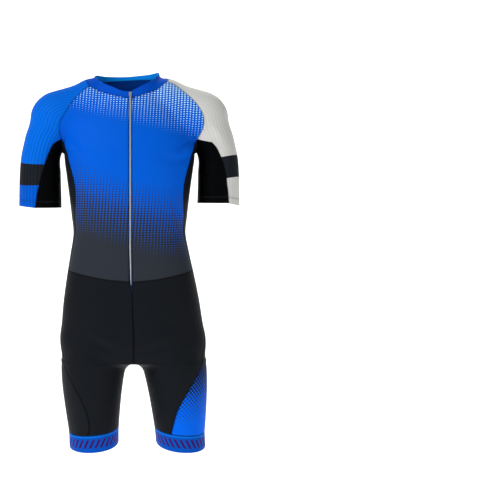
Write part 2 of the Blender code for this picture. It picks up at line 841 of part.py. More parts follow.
def collar_grid(left, right, back_top):
    """The collar from its front end on the wearer's right round to the one on the left."""
    bottom = np.concatenate([
        right.neck_front, right.sleeve_top[1:], back_top[1:], left.sleeve_top[::-1][1:],
        left.neck_front[::-1][1:],
    ])
    reach = bottom - np.array([NECK_CENTRE, 0.0, 0.0])
    turns = np.degrees(np.unwrap(np.arctan2(-reach[:, 0], -reach[:, 1])))
    top = collar_top_line(-turns)
    lower = settled(bottom * 0.62 + top * 0.38)
    upper = settled(bottom * 0.26 + top * 0.74)
    return np.array([bottom, lower, upper, top])


def zip_strip():
    """The closed zip: a narrow strip down the middle that ends in a point below the waist."""
    heights = np.linspace(ZIP["top"], ZIP_END, ZIP["rows"] + 1)
    middle = centre_line(heights, True)
    half = np.clip((heights - ZIP_END) / (ZIP_TAPER + 5), 0.1, 1) * ZIP_HALF_WIDTH
    across = np.array([1.0, 0.0, 0.0])
    return np.stack([middle - half[:, None] * across, middle + half[:, None] * across], axis=1)


def box_mesh(lows, highs):
    mesh = bmesh.new()
    bmesh.ops.create_cube(mesh, size=1)
    size = Vector(highs) - Vector(lows)
    middle = (Vector(highs) + Vector(lows)) / 2
    bmesh.ops.scale(mesh, vec=size, verts=mesh.verts)
    bmesh.ops.translate(mesh, vec=middle, verts=mesh.verts)
    return mesh


def rod_mesh(radius, length, sides):
    """A closed rod along X."""
    mesh = bmesh.new()
    bmesh.ops.create_cone(mesh, cap_ends=True, segments=sides, radius1=radius, radius2=radius, depth=length)
    bmesh.ops.rotate(mesh, cent=(0, 0, 0), matrix=Matrix.Rotation(math.pi / 2, 3, "Y"), verts=mesh.verts)
    return mesh


def helper(name, mesh):
    data = bpy.data.meshes.new(name)
    mesh.to_mesh(data)
    mesh.free()
    obj = bpy.data.objects.new(name, data)
    found = bpy.data.collections.get("Cutters")
    if found is None:
        found = bpy.data.collections.new("Cutters")
        bpy.context.scene.collection.children.link(found)
    found.objects.link(obj)
    obj.hide_render = True
    obj.display_type = "WIRE"
    return obj


def combine(obj, other, operation):
    modifier = obj.modifiers.new(operation.title() + " " + other.name, "BOOLEAN")
    modifier.operation = operation
    modifier.object = other
    other.parent = obj.parent


def zip_mount():
    """An empty on the pull's axis: its X runs across the zip and its Z up along the cloth."""
    low, high = centre_line([SLIDER["top"] - SLIDER["length"], SLIDER["top"]], True)
    up = Vector(high - low).normalized()
    across = Vector((1, 0, 0))
    depth = up.cross(across).normalized()
    middle = Vector(0.5 * (low + high))
    lift = ZIP["proud"] + SEAM_GAP
    rise = lift + SLIDER["height"] + PULL["eye_outer"] + SEAM_GAP
    empty = bpy.data.objects.new("pull_axis", None)
    suit_collection().objects.link(empty)
    frame = Matrix((across, depth, up)).transposed().to_4x4()
    pivot = middle - depth * rise + up * SLIDER["length"] * 0.2
    empty.matrix_world = Matrix.Translation(pivot * MM) @ frame
    return empty, rise - lift


def zip_slider(axis, rise):
    """The slider's body with two cheeks and the bar that the pull hangs on."""
    half = SLIDER["width"] / 2
    back = rise
    front = rise - SLIDER["height"]
    low = -SLIDER["length"] * 0.7
    high = SLIDER["length"] * 0.3
    body = add_object("zip_slider", scaled(box_mesh((-half, front, low), (half, back, high))), "metal", 0.3, 1.0)
    body.parent = axis
    eye = PULL["eye_width"] / 2 + SEAM_GAP
    for sign in (-1, 1):
        inner, outer = sorted((sign * eye, sign * (eye + SLIDER["cheek"])))
        cheek = box_mesh((inner, -PULL["eye_outer"] * 0.5, -1.1), (outer, front + 0.5, 1.1))
        combine_part(body, helper("cheek_" + ("right" if sign < 0 else "left"), scaled(cheek)))
    bar = rod_mesh(SLIDER["bar"], 2 * (eye + SLIDER["cheek"] * 0.6), 12)
    combine_part(body, helper("pull_bar", scaled(bar)))
    return body


def combine_part(body, piece):
    piece.parent = body.parent
    combine(body, piece, "UNION")


def scaled(mesh):
    bmesh.ops.scale(mesh, vec=(MM, MM, MM), verts=mesh.verts)
    return mesh


def zip_pull(axis):
    """The pull tab: a flat tongue with an eye that turns on the slider's bar."""
    eye = add_object("zip_pull", scaled(rod_mesh(PULL["eye_outer"], PULL["eye_width"], 20)), "metal", 0.3, 1.0)
    eye.parent = axis
    half = PULL["width"] / 2
    reach = PULL["eye_outer"]
    tongue = box_mesh((-half, -reach, -PULL["length"]), (half, -reach + PULL["wall"], -reach + 0.2))
    neck = box_mesh((-PULL["eye_width"] / 2, -reach, -reach - 0.5), (PULL["eye_width"] / 2, -reach + PULL["wall"], 0.2))
    bmesh.ops.bevel(tongue, geom=tongue.edges[:], offset=0.35, segments=1, affect="EDGES")
    for name, mesh in (("pull_tongue", tongue), ("pull_neck", neck)):
        combine_part(eye, helper(name, scaled(mesh)))
    hole = helper("pull_hole", scaled(rod_mesh(PULL["eye_inner"], PULL["eye_width"] * 2, 20)))
    hole.parent = axis
    combine(eye, hole, "DIFFERENCE")
    return eye


def clear_scene():
    for obj in list(bpy.data.objects):
        bpy.data.objects.remove(obj)


def main():
    clear_scene()
    half = SEAM_GAP / 2
    all_round = (half, half, half, half)
    left, right = Seams(1), Seams(-1)
    spine = back_grid(left, right)
    split = RAGLAN_ROWS + BACK_SIDE_ROWS
    grips = {}
    for seams, name in ((left, "left"), (right, "right")):
        front = front_panel(seams)
        cloth("front_" + name, drawn_back(front, (half, half, zip_gap(front), half)), "blue")
        shorts = shorts_panel(seams)
        cloth("shorts_front_" + name, drawn_back(shorts, (half, half, zip_gap(shorts), half)), "black", roughness=0.42)
        sides = side_panel(seams)
        cloth("side_" + name, drawn_back(sides, all_round), "charcoal")
        last = spine[-1]
        yoke_row = last[BACK_CELLS // 2:] if seams is left else last[: BACK_CELLS // 2 + 1][::-1]
        seat = seat_panel(seams, yoke_row)
        cloth("seat_" + name, drawn_back(seat, all_round), "black", roughness=0.42)
        sleeve = sleeve_panel(seams)
        seams.sleeve_top = sleeve[0]
        sleeve_colour = "white" if seams is left else "blue"
        cloth("sleeve_" + name, drawn_back(sleeve, (half, 0, half, half)), sleeve_colour)
        under = under_sleeve_panel(seams)
        cloth("under_sleeve_" + name, drawn_back(under, (half, 0, half, half)), "black")
        grips[name] = grip_panel(seams, (shorts[-1], sides[-1], seat[-1][::-1]))
    for name, grid in grips.items():
        top = grid[0] + (grid[1] - grid[0]) * half / np.linalg.norm(grid[1] - grid[0], axis=1, keepdims=True)
        cloth("gripper_" + name, np.array([top, *grid[1:]]), "deep_blue", around=True)
    cloth("back", drawn_back(spine[: split + 1], all_round), "blue")
    cloth("lower_back", drawn_back(spine[split:], all_round), "charcoal")
    pocket_rows = [row for row in range(split + 1) if spine[row][BACK_CELLS // 2][2] < POCKET_TOP]
    pocket = drawn_back(spine[pocket_rows], (0, 2.5, 2.0, 2.0))
    cloth("back_pocket", pocket, "blue", proud=SEAM_GAP + POCKET_WALL, wall=POCKET_WALL)
    collar = drawn_back(collar_grid(left, right, spine[0]), (half, 0, ZIP_HALF_WIDTH + 2 * half, ZIP_HALF_WIDTH + 2 * half))
    cloth("collar", collar, "deep_blue")
    cloth("zip_strip", zip_strip(), "white", proud=ZIP["proud"], wall=ZIP["wall"], roughness=0.35)
    axis, rise = zip_mount()
    zip_slider(axis, rise)
    zip_pull(axis)


main()
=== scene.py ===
import math

import bmesh
import bpy
import numpy as np
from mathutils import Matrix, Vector


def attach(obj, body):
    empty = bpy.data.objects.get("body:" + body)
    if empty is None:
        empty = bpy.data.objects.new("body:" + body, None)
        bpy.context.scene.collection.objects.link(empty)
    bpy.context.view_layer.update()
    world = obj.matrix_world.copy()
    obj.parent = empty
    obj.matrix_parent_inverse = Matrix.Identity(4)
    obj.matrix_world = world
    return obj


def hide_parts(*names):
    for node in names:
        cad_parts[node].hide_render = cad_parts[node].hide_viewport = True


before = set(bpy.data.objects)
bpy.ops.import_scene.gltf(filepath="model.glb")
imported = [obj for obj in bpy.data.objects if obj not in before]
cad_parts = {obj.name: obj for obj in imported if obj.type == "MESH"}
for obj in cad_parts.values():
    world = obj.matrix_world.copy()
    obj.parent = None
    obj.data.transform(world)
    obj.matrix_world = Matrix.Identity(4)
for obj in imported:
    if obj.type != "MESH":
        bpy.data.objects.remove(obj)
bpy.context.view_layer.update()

# Speed skating suit in its worn form. Tables are in millimetres and the scene is in metres.
# +Z is up, the front faces -Y and the wearer's left is +X, as in the frame.
mm = 0.001

# The worn figure that the cloth lies on: each row is one level.
torso = {
    "columns": ("height", "halfWidth", "frontDepth", "backDepth"),
    "rows": (
        (-700, 175, 90.5, 102.5),
        (-675, 180.5, 98.5, 117.5),
        (-645, 181.5, 103, 126),
        (-615, 176.5, 104, 128),
        (-555, 169, 104, 121),
        (-495, 159, 103, 108),
        (-435, 147.5, 102, 94),
        (-385, 140, 103, 87),
        (-345, 144, 106, 90),
        (-285, 151, 112, 100),
        (-240, 157, 117, 109),
        (-195, 162.5, 118, 114),
        (-160, 162, 113, 113),
        (-120, 150, 101, 106),
        (-80, 122, 82, 92),
        (-45, 88, 62, 72),
    ),
    "roundness": 2.35,
    "domeAbove": 30,
    "domeBelow": 6,
}
neck = {
    "columns": ("height", "centreOut", "halfWidth", "frontDepth", "backDepth"),
    "rows": (
        (-90, -3, 84, 66, 76),
        (-55, -3, 83, 68, 74),
        (-25, -4, 82, 68, 71),
        (0, -5, 80.5, 68, 69),
        (40, -6, 79.5, 68, 68),
    ),
    "roundness": 2.0,
    "domeAbove": 20,
    "domeBelow": 30,
}
leg = {
    "columns": ("height", "centreOut", "halfWidth", "frontDepth", "backDepth"),
    "rows": (
        (-960, 108, 60, 71, 71),
        (-920, 108, 61.5, 73.5, 73),
        (-885, 107.5, 62, 76.5, 76),
        (-845, 107.5, 66, 81, 81),
        (-805, 107, 70.6, 85, 87),
        (-750, 104, 77, 90.5, 95.5),
        (-712, 99.5, 81, 93.5, 102.5),
        (-670, 90, 82, 92, 108),
    ),
    "roundness": 2.1,
    "domeAbove": 40,
    "domeBelow": 40,
}
arm = {
    "columns": ("height", "centreOut", "halfWidth", "frontDepth", "backDepth"),
    "rows": (
        (-360, 222, 53.5, 56, 56),
        (-300, 222.5, 52.5, 56, 56),
        (-240, 222.5, 51, 56, 57),
        (-195, 220.5, 49.5, 55, 57),
        (-165, 210, 54, 56, 58),
        (-140, 199, 59, 57, 59),
        (-104, 179, 65, 56, 58),
    ),
    "roundness": 2.05,
    "domeAbove": 60,
    "domeBelow": 40,
}
yokeRod = {"neckEnd": (88, -69, 68), "tipEnd": (166, -98, 58), "depthShare": 0.86}
lean = {"from": -375, "atGrip": 18.75, "length": 510, "power": 1.25}
lookFrom = {"drawing": 2600, "height": -280, "chest": 166.0, "hips": 260.0, "arm": 400.0, "pit": 167.0}
crotchAim = {"height": -702, "reach": 38, "lift": 34, "shift": 26, "depth": 105}


def smoothTable(keys, values, at):  # a smooth curve through rows of values
    keys = np.asarray(keys, float)
    values = np.asarray(values, float)
    slopes = np.gradient(values, keys, axis=0)
    at = np.clip(at, keys[0], keys[-1])
    row = np.clip(np.searchsorted(keys, at, "right") - 1, 0, len(keys) - 2)
    span = keys[row + 1] - keys[row]
    t = (at - keys[row]) / span
    if values.ndim > 1:
        span = span[:, None]
        t = t[:, None]
    start = values[row] * (1 + 2 * t) * (1 - t) ** 2 + slopes[row] * span * t * (1 - t) ** 2
    end = values[row + 1] * t * t * (3 - 2 * t) - slopes[row + 1] * span * t * t * (1 - t)
    return start + end


def smoothStep(low, high, at):
    t = np.clip((at - low) / (high - low), 0, 1)
    return t * t * (3 - 2 * t)


def melt(a, b, reach):  # the union of two distances, rounded where they meet
    share = np.clip(0.5 + 0.5 * (b - a) / reach, 0, 1)
    return b * (1 - share) + a * share - reach * share * (1 - share)


def sway(height):  # below the waist the figure leans to its left side
    below = np.maximum(lean["from"] - np.asarray(height, float), 0)
    return lean["atGrip"] * (below / lean["length"]) ** lean["power"]


def limb(form, x, y, z):  # about the distance to a body of rounded sections
    keys = [row[0] for row in form["rows"]]
    values = smoothTable(keys, [row[1:] for row in form["rows"]], z)
    if "centreOut" in form["columns"]:
        x = x - values[:, 0]
        values = values[:, 1:]
    power = form["roundness"]
    depth = np.where(y < 0, values[:, 1], values[:, 2])
    over = np.where(z > 0.5 * (keys[0] + keys[-1]), form["domeAbove"], form["domeBelow"])
    beyond = np.maximum(z - keys[-1], 0) + np.maximum(keys[0] - z, 0)
    u = np.abs(x) / values[:, 0]
    v = np.abs(y) / depth
    w = beyond / over
    k = np.maximum((u**power + v**power + w**power) ** (1 / power), 1e-6)
    steep = np.sqrt(
        (u ** (power - 1) / values[:, 0]) ** 2
        + (v ** (power - 1) / depth) ** 2
        + (w ** (power - 1) / over) ** 2
    )
    return (k - 1) / np.maximum(steep * k ** (1 - power), 1e-5)


def yoke(x, y, z):  # the slope from the neck to the shoulder tip
    start = np.array(yokeRod["neckEnd"][:2], float)
    run = np.array(yokeRod["tipEnd"][:2], float) - start
    t = np.clip(((x - start[0]) * run[0] + (z - start[1]) * run[1]) / (run @ run), 0, 1)
    radius = yokeRod["neckEnd"][2] + t * (yokeRod["tipEnd"][2] - yokeRod["neckEnd"][2])
    beside = x - start[0] - t * run[0]
    above = z - start[1] - t * run[1]
    return np.sqrt(beside**2 + above**2 + (y / yokeRod["depthShare"]) ** 2) - radius


# How far the joins of the figure are rounded.
joins = {
    "neck": 24, "legs": 20, "crotch": {"least": 8, "more": 30, "reach": 40},
    "yoke": {"least": 9, "more": 27, "from": 84, "to": 125},
    "arm": {"least": 7, "more": 36, "from": -165, "to": -105},
}
# Steps towards the figure: the probe for normals, the most rounds, the share of a gap and its limits.
march = {"probe": 0.5, "rounds": 120, "share": 0.6, "back": -6, "out": 9, "in": 30, "near": 0.01}


def joinedBy(join, at):
    return join["least"] + join["more"] * smoothStep(join["from"], join["to"], at)


def figure(points):  # distance from the outside of the suit, less than 0 inside it
    z = points[:, 2]
    x = points[:, 0] - sway(z)
    y = points[:, 1]
    out = np.abs(x)
    body = melt(limb(torso, x, y, z), limb(neck, x, y, z), joins["neck"])
    body = melt(body, yoke(out, y, z), joinedBy(joins["yoke"], out))
    body = melt(body, limb(arm, out, y, z), joinedBy(joins["arm"], z))
    legs = melt(limb(leg, x, y, z), limb(leg, -x, y, z), joins["legs"])
    crotch = joins["crotch"]
    return melt(body, legs, crotch["least"] + crotch["more"] * np.exp(-((x / crotch["reach"]) ** 2)))


def unit(vectors):
    return vectors / np.linalg.norm(vectors, axis=-1, keepdims=True)


def outward(points):  # unit normals of the figure
    probes = march["probe"] * np.eye(3)
    return unit(np.stack([figure(points + probe) - figure(points - probe) for probe in probes], axis=1))


def settled(points, rounds=4):  # the points moved straight onto the figure
    points = np.array(points, float)
    shape = points.shape
    points = points.reshape(-1, 3)
    for _ in range(rounds):
        points -= figure(points)[:, None] * outward(points)
    return points.reshape(shape)


def cast(start, direction, sign, reach):  # where rays first pass the figure: 1 going out, -1 going in
    start = np.atleast_2d(np.asarray(start, float))
    direction = unit(np.atleast_2d(np.asarray(direction, float)))
    start, direction = np.broadcast_arrays(start, direction)
    gone = np.zeros(len(start))
    most = march["out"] if sign > 0 else march["in"]
    for _ in range(march["rounds"]):
        gap = -sign * figure(start + gone[:, None] * direction)
        gone = np.clip(gone + np.clip(march["share"] * gap, march["back"], most), 0, reach)
        if np.max(np.abs(gap[gone < reach]), initial=0) < march["near"]:
            break
    return start + gone[:, None] * direction


def lengths(grid, axis=0):  # how far along the cloth each point is from the first row or column
    steps = np.linalg.norm(np.diff(grid, axis=axis), axis=-1)
    return np.concatenate([np.zeros_like(steps.take([0], axis)), np.cumsum(steps, axis=axis)], axis=axis)


# Seams as routes of (view, first, second): front and back give out and height as drawn there,
# side gives depth and height, top gives out and depth, pit gives depth and grip a turn.
seamRoutes = {
    "raglanFrontRight": (
        ("front", 100.5, -20), ("front", 132.5, -45.5), ("front", 152, -73.5), ("front", 170, -101.5),
        ("front", 175.5, -129), ("pit", -42, 0),
    ),
    "raglanFrontLeft": (
        ("front", 95, -8), ("front", 126, -25), ("front", 155, -50), ("front", 178, -78),
        ("front", 188, -105.5), ("pit", -42, 0),
    ),
    "raglanBack": (
        ("nape", 101, 6), ("top", 124, 9), ("top", 148, 20), ("back", 176, -52), ("back", 190, -82),
        ("back", 194, -112), ("pit", 44, 0),
    ),
    "sleeveFrontRight": (
        ("pit", -42, 0), ("front", 183, -158), ("front", 197, -178), ("front", 206, -199),
        ("front", 219, -242), ("front", 228, -275), ("front", 236, -325),
    ),
    "sleeveFrontLeft": (
        ("pit", -42, 0), ("front", 203, -157.5), ("front", 217.5, -173), ("front", 230, -200),
        ("front", 244, -254), ("front", 249, -313),
    ),
    "sleeveBackRight": (
        ("pit", 44, 0), ("back", 192, -156), ("back", 203, -201), ("back", 219, -255),
        ("back", 235, -325),
    ),
    "sleeveBackLeft": (
        ("pit", 44, 0), ("back", 206, -158), ("back", 220, -211), ("back", 236, -265),
        ("back", 246, -313),
    ),
    "sideFront": (
        ("pit", -42, 0), ("front", 163, -165), ("front", 156, -190), ("front", 147, -226),
        ("front", 138, -262), ("front", 135.5, -300), ("front", 136.5, -340), ("side", -40, -388),
        ("side", -30, -430), ("side", -26, -479),
    ),
    "legFrontRight": (
        ("side", -26, -479), ("side", -20, -560), ("side", -22, -640), ("front", 174, -717),
        ("front", 161, -752), ("front", 143.5, -789), ("front", 127, -828), ("front", 118.5, -865),
        ("grip", 8, 0),
    ),
    "legFrontLeft": (
        ("side", -26, -479), ("side", -20, -560), ("side", -28, -640), ("front", 169, -717),
        ("front", 149, -757), ("front", 125, -797), ("front", 106, -828), ("front", 93, -865),
        ("grip", -20, 0),
    ),
    "sideBack": (
        ("pit", 44, 0), ("back", 163, -170), ("back", 160, -200), ("back", 154, -263),
        ("back", 140, -322), ("back", 124, -355), ("back", 115, -399), ("back", 113, -460),
        ("back", 114, -512), ("back", 117.5, -555), ("back", 127, -603), ("back", 142, -650),
        ("back", 157, -688), ("back", 160, -717), ("back", 151, -763), ("back", 138, -810),
        ("back", 123, -855), ("grip", 176, 0),
    ),
    "crown": (
        ("nape", 102, -16), ("top", 126, -14), ("top", 158, -6), ("top", 196, 0), ("outer", 0, -70),
        ("outer", 0, -108), ("outer", 0, -150), ("outer", 0, -210), ("outer", 0, -270),
        ("outer", 0, -319),
    ),
}
# Cells between shared corners of the panels, so that both sides of a seam have the same points.
cells = {
    "raglan": 6, "arm": 8, "frontSide": 14, "shorts": 16, "backSide": 15, "lowerBack": 4, "seat": 11,
    "inseam": 6, "front": 7, "back": 12, "side": 8, "sleeve": 11, "pitFade": 8, "bridged": 3, "fine": 6,
    "edgeFade": 14,
}
collarCut = {
    "seamFront": ((20, -46), (43, -39.5), (69, -31.5)),
    "seamBack": ((-122, -4), (-145, -1), (180, 0), (145, -1), (122, -4)),
    "topTurns": (-180, -135, -95, -75, -60, -32, 0, 32, 60, 75, 95, 135, 180),
    "topHeights": (10, 11, 10, 1.5, -9, -25, -40, -25, -9, 1.5, 10, 11, 10),
    "frontHeight": -49.5, "lean": 0.045, "centre": -5.0, "radius": 78.0, "rows": 7, "wall": 1.6,
    "perTurn": 1.35,
}
waistCut = {"drawn": ((60, -505), (115, -494)), "frontHeight": -501}
gripTop = {"middle": -874, "outerDrop": 6, "frontDrop": 3}
gripHem = {"middle": -910, "outerDrop": 5, "frontDrop": 9}
frontZip = {"centre": 2.0, "halfWidth": 2.5, "top": -41, "end": -537, "taper": 30}


def bodyAxis(height, side):  # a line inside the torso that runs down into one leg
    out = smoothTable((-960, -805, -712, -600, -480, -250, -150), (108, 107, 98, 80, 55, 40, 30), height)
    return np.stack([side * out + sway(height), 0 * out, height], axis=1)


def gripPoint(ring, side, turns):  # turns start at the front and go round the outside
    turns = np.radians(np.asarray(turns, float))
    out = np.sin(turns)
    height = ring["middle"] - ring["outerDrop"] * out - ring["frontDrop"] * np.maximum(np.cos(turns), 0)
    aims = np.stack([side * out, -np.cos(turns), 0 * out], axis=1)
    return cast(bodyAxis(height, side), aims, 1, 150)


def pitPoint(depth, side):  # found by looking up between the arm and the body
    return cast((side * lookFrom["pit"], depth, -330.0), (0, 0, 1), -1, 300)[0]


def spot(view, first, second, side):  # one point of a route, on the figure
    if view in ("front", "back"):
        eye = lookFrom["drawing"] * (1 if view == "back" else -1)
        origin = np.array([0.0, eye, lookFrom["height"]])
        line = np.array([side * first + sway(second), 0.0, second]) - origin
        return cast(origin + line * (1 - 260 / lookFrom["drawing"]), line, -1, 300)[0]
    if view == "side":
        out = lookFrom["hips"] if second < -420 else lookFrom["chest"]
        return cast((side * out, first, second), (-side, 0, 0), -1, 250)[0]
    if view == "outer":
        return cast((side * lookFrom["arm"], first, second), (-side, 0, 0), -1, 300)[0]
    if view == "nape":
        return cast((collarCut["centre"] + side * first, second, 120.0), (0, 0, -1), -1, 250)[0]
    if view == "top":
        return cast((side * first, second, 120.0), (0, 0, -1), -1, 250)[0]
    if view == "pit":
        return pitPoint(first, side)
    return gripPoint(gripTop, side, [first])[0]


def spread(points, counts, corners=()):  # a smooth line in even cells, with so many between corners
    points = np.asarray(points, float)
    along = lengths(points)
    stops = [0, *corners, len(points) - 1]
    at = [np.linspace(along[a], along[b], n + 1)[:-1] for a, b, n in zip(stops, stops[1:], counts)]
    return settled(smoothTable(along, points, np.concatenate([*at, along[-1:]])), 12)


def route(name, side, counts, corners=()):
    return spread([spot(*row, side) for row in seamRoutes[name]], counts, corners)


def finer(line):  # the fine points of a seam that its two panels share
    line = np.asarray(line, float)
    at = np.linspace(0, len(line) - 1, cells["fine"] * (len(line) - 1) + 1)
    return settled(smoothTable(np.arange(len(line)), line, at))


def turnOf(points, centres, side, lowest):  # degrees: 0 in front, 90 outside, from the lowest up
    reach = points - centres
    turns = np.degrees(np.arctan2(side * reach[:, 0], -reach[:, 1]))
    return (turns - lowest) % 360 + lowest


def turnedOut(centres, starts, ends, side):
    turns = 0.5 * (turnOf(starts, centres, side, -90) + turnOf(ends, centres, side, -90))
    turns = np.radians(turns)
    return np.stack([side * np.sin(turns), -np.cos(turns), 0 * turns], axis=1)


def between(centres, starts, ends, side, lowest):  # half the way round, at their mean height
    turns = 0.5 * (turnOf(starts, centres, side, lowest) + turnOf(ends, centres, side, lowest))
    turns = np.radians(turns)
    drop = (0.5 * (starts[:, 2] + ends[:, 2]) - centres[:, 2]) / crotchAim["depth"]
    aims = np.stack([side * np.sin(turns), -np.cos(turns), drop], axis=1)
    return cast(centres, aims, 1, 320)


def aboveCrotch(levels, side):  # ray centres down one side, raised beside the crotch
    centres = bodyAxis(levels, side)
    near = np.exp(-(((levels - crotchAim["height"]) / crotchAim["reach"]) ** 2))
    centres[:, 2] += crotchAim["lift"] * near
    centres[:, 0] -= side * crotchAim["shift"] * near
    return centres


def bridged(grid):  # the rows below the armpit seam, filled in evenly
    rows = cells["bridged"]
    for row in range(1, rows):
        share = row / rows
        grid[row][1:-1] = settled(grid[0][1:-1] * (1 - share) + grid[rows][1:-1] * share, 12)
    return grid


def fan(centres, starts, middles, ends, count):  # rows on the figure, each a smooth sweep of rays
    rows = []
    for centre, start, middle, end in zip(centres, starts, middles, ends):
        aims = np.array([start, middle, end]) - centre
        aims /= np.linalg.norm(aims, axis=1, keepdims=True)
        turns = np.arccos(np.clip(np.sum(aims[1:] * aims[:-1], axis=1), -1, 1))
        angles = np.concatenate([[0], np.cumsum(turns)])
        rows.append(smoothTable(angles, aims, np.linspace(0, angles[-1], count + 1)))
    aims = np.array(rows)
    origins = np.repeat(np.asarray(centres)[:, None, :], count + 1, axis=1)
    grid = cast(origins.reshape(-1, 3), aims.reshape(-1, 3), 1, 320).reshape(aims.shape)
    grid[:, 0] = starts
    grid[:, -1] = ends
    return grid


def middleLine(heights, front, out):  # points down the middle of the front or the back
    heights = np.asarray(heights, float)
    levels = heights if front else np.minimum(heights, -150)
    centres = np.stack([sway(heights) + out, 0 * heights, levels], axis=1)
    ahead = np.full(len(heights), -90.0 if front else 90.0)
    return cast(centres, np.stack([0 * heights, ahead, heights - levels], axis=1), 1, 320)


def belowPit(levels, lines):  # rows that start at the armpit hang lower in their middles
    hang = lines["pit"][:, 2].min() - levels[0]
    share = np.clip(1 - np.arange(len(levels)) / cells["pitFade"], 0, 1) ** 1.5
    return levels + (hang - 3) * share


def crotchCurve(front):
    turns = np.radians([35, 68])
    aims = np.stack([0 * turns, front * np.cos(turns), -np.sin(turns)], axis=1)
    return cast((sway(-690), 0.0, -640.0), aims, 1, 200)


def seamLines(side):  # every seam of one side, as coarse points shared by its two pieces
    hand = "Left" if side > 0 else "Right"
    lines = {"side": side}
    drawn = []
    for out, height in collarCut["seamFront"]:
        drawn.append(spot("front", out, height + side * collarCut["lean"] * out, side))
    start = spot("front", side * frontZip["centre"], collarCut["frontHeight"], side)
    drawn.append(spot(*seamRoutes["raglanFront" + hand][0], side))
    lines["neckFront"] = spread([start, *drawn], [cells["front"]])
    lines["raglanFront"] = route("raglanFront" + hand, side, [cells["raglan"]])
    lines["raglanBack"] = route("raglanBack", side, [cells["raglan"]])
    lines["sleeveFront"] = route("sleeveFront" + hand, side, [cells["arm"]])
    lines["sleeveBack"] = route("sleeveBack" + hand, side, [cells["arm"]])
    lines["sideFront"] = route("sideFront", side, [cells["frontSide"]])
    lines["legFront"] = route("legFront" + hand, side, [cells["shorts"]])
    counts = [cells["backSide"], cells["lowerBack"], cells["seat"]]
    lines["sideBack"] = route("sideBack", side, counts, (8, 10))
    depths = np.linspace(lines["raglanFront"][-1, 1], lines["raglanBack"][-1, 1], cells["side"] + 1)
    inner = [pitPoint(depth, side) for depth in depths[1:-1]]
    lines["pit"] = np.array([lines["raglanFront"][-1], *inner, lines["raglanBack"][-1]])
    crotch = cast((sway(-700), 0.0, -620.0), (0, 0, -1), 1, 200)[0]
    end = gripPoint(gripTop, side, [-90])[0]
    share = (np.arange(1, cells["inseam"]) / cells["inseam"]) ** 1.35
    heights = crotch[2] + share * (end[2] - crotch[2])
    lines["inseam"] = np.array([crotch, *cast(bodyAxis(heights, side), (-side, 0, 0), 1, 200), end])
    upper = np.linspace(lines["neckFront"][0, 2], -172, cells["raglan"] + 1)
    lower = np.linspace(-172, waistCut["frontHeight"], cells["frontSide"] + 1)
    lines["centreFront"] = middleLine(np.concatenate([upper, lower[1:]]), True, frontZip["centre"])
    down = middleLine(np.linspace(lines["centreFront"][-1, 2], -640, 6), True, frontZip["centre"])
    down = np.concatenate([down, crotchCurve(-1), [crotch]])
    lines["centreShorts"] = spread(down, [cells["shorts"] - cells["inseam"]])
    drawn = [spot("front", out, height, side) for out, height in waistCut["drawn"]]
    lines["waist"] = spread([lines["centreFront"][-1], *drawn, lines["sideFront"][-1]], [cells["front"]])
    return lines


def withGripRow(grid, side):  # the last row laid along the top of the gripper
    reach = grid[-1] - bodyAxis(grid[-1][:, 2], side)
    turns = np.unwrap(np.arctan2(side * reach[:, 0], -reach[:, 1]))
    even = np.degrees(np.linspace(turns[0], turns[-1], len(turns)))
    ends = grid[-1][[0, -1]]
    grid[-1] = gripPoint(gripTop, side, even)
    grid[-1][[0, -1]] = ends
    return grid


def frontGrid(lines):
    outer = np.concatenate([lines["raglanFront"], lines["sideFront"][1:]])
    centre = lines["centreFront"]
    centres = bodyAxis(np.minimum(0.5 * (outer[:, 2] + centre[:, 2]), -150), lines["side"])
    middles = cast(centres, outer - centres + centre - centres, 1, 320)
    grid = fan(centres, centre, middles, outer, cells["front"])
    grid[0] = lines["neckFront"]
    grid[-1] = lines["waist"]
    return grid


def shortsGrid(lines):
    outer = lines["legFront"]
    inner = np.concatenate([lines["centreShorts"], lines["inseam"][1:]])
    centres = aboveCrotch(0.5 * (outer[:, 2] + inner[:, 2]), lines["side"])
    middles = between(centres, inner, outer, lines["side"], -180)
    grid = fan(centres, inner, middles, outer, cells["front"])
    grid[0] = lines["waist"]
    return withGripRow(grid, lines["side"])


def sideGrid(lines):
    front = np.concatenate([lines["sideFront"], lines["legFront"][1:]])
    back = lines["sideBack"]
    centres = bodyAxis(belowPit(0.5 * (front[:, 2] + back[:, 2]), lines), lines["side"])
    middles = cast(centres, turnedOut(centres, front, back, lines["side"]), 1, 320)
    grid = fan(centres, front, middles, back, cells["side"])
    grid[0] = lines["pit"]
    return withGripRow(bridged(grid), lines["side"])


def seatGrid(lines, yokeRow):
    outer = lines["sideBack"][cells["backSide"] + cells["lowerBack"]:]
    centre = np.array([yokeRow[0], *middleLine([-650], False, 0), *crotchCurve(1), lines["inseam"][0]])
    lines["centreSeat"] = spread(centre, [cells["seat"] - cells["inseam"]])
    inner = np.concatenate([lines["centreSeat"], lines["inseam"][1:]])
    centres = aboveCrotch(0.5 * (outer[:, 2] + inner[:, 2]), lines["side"])
    middles = between(centres, inner, outer, lines["side"], 0)
    grid = fan(centres, inner, middles, outer, cells["back"] // 2)
    grid[0] = yokeRow
    return withGripRow(grid, lines["side"])


def spineGrid(left, right):  # the back and lower back in one sweep, from the neck to the seat
    below = cells["backSide"] + cells["lowerBack"] + 1
    edges = [np.concatenate([lines["raglanBack"], lines["sideBack"][1:below]]) for lines in (right, left)]
    levels = 0.5 * (edges[0][:, 2] + edges[1][:, 2])
    dips = smoothTable((-620, -560, -512, -400, -180, -100, -10), (-2, -8, -22, -4, -8, -12, 8), levels)
    heights = np.minimum(levels, -150)
    centres = np.stack([sway(heights), 0 * heights, heights], axis=1)
    grid = fan(centres, edges[0], middleLine(levels + dips, False, 0), edges[1], cells["back"])
    nape = [neckPoint(turn, height)[0] for turn, height in collarCut["seamBack"]]
    grid[0] = spread([edges[0][0], *nape, edges[1][0]], [cells["back"]])
    return grid


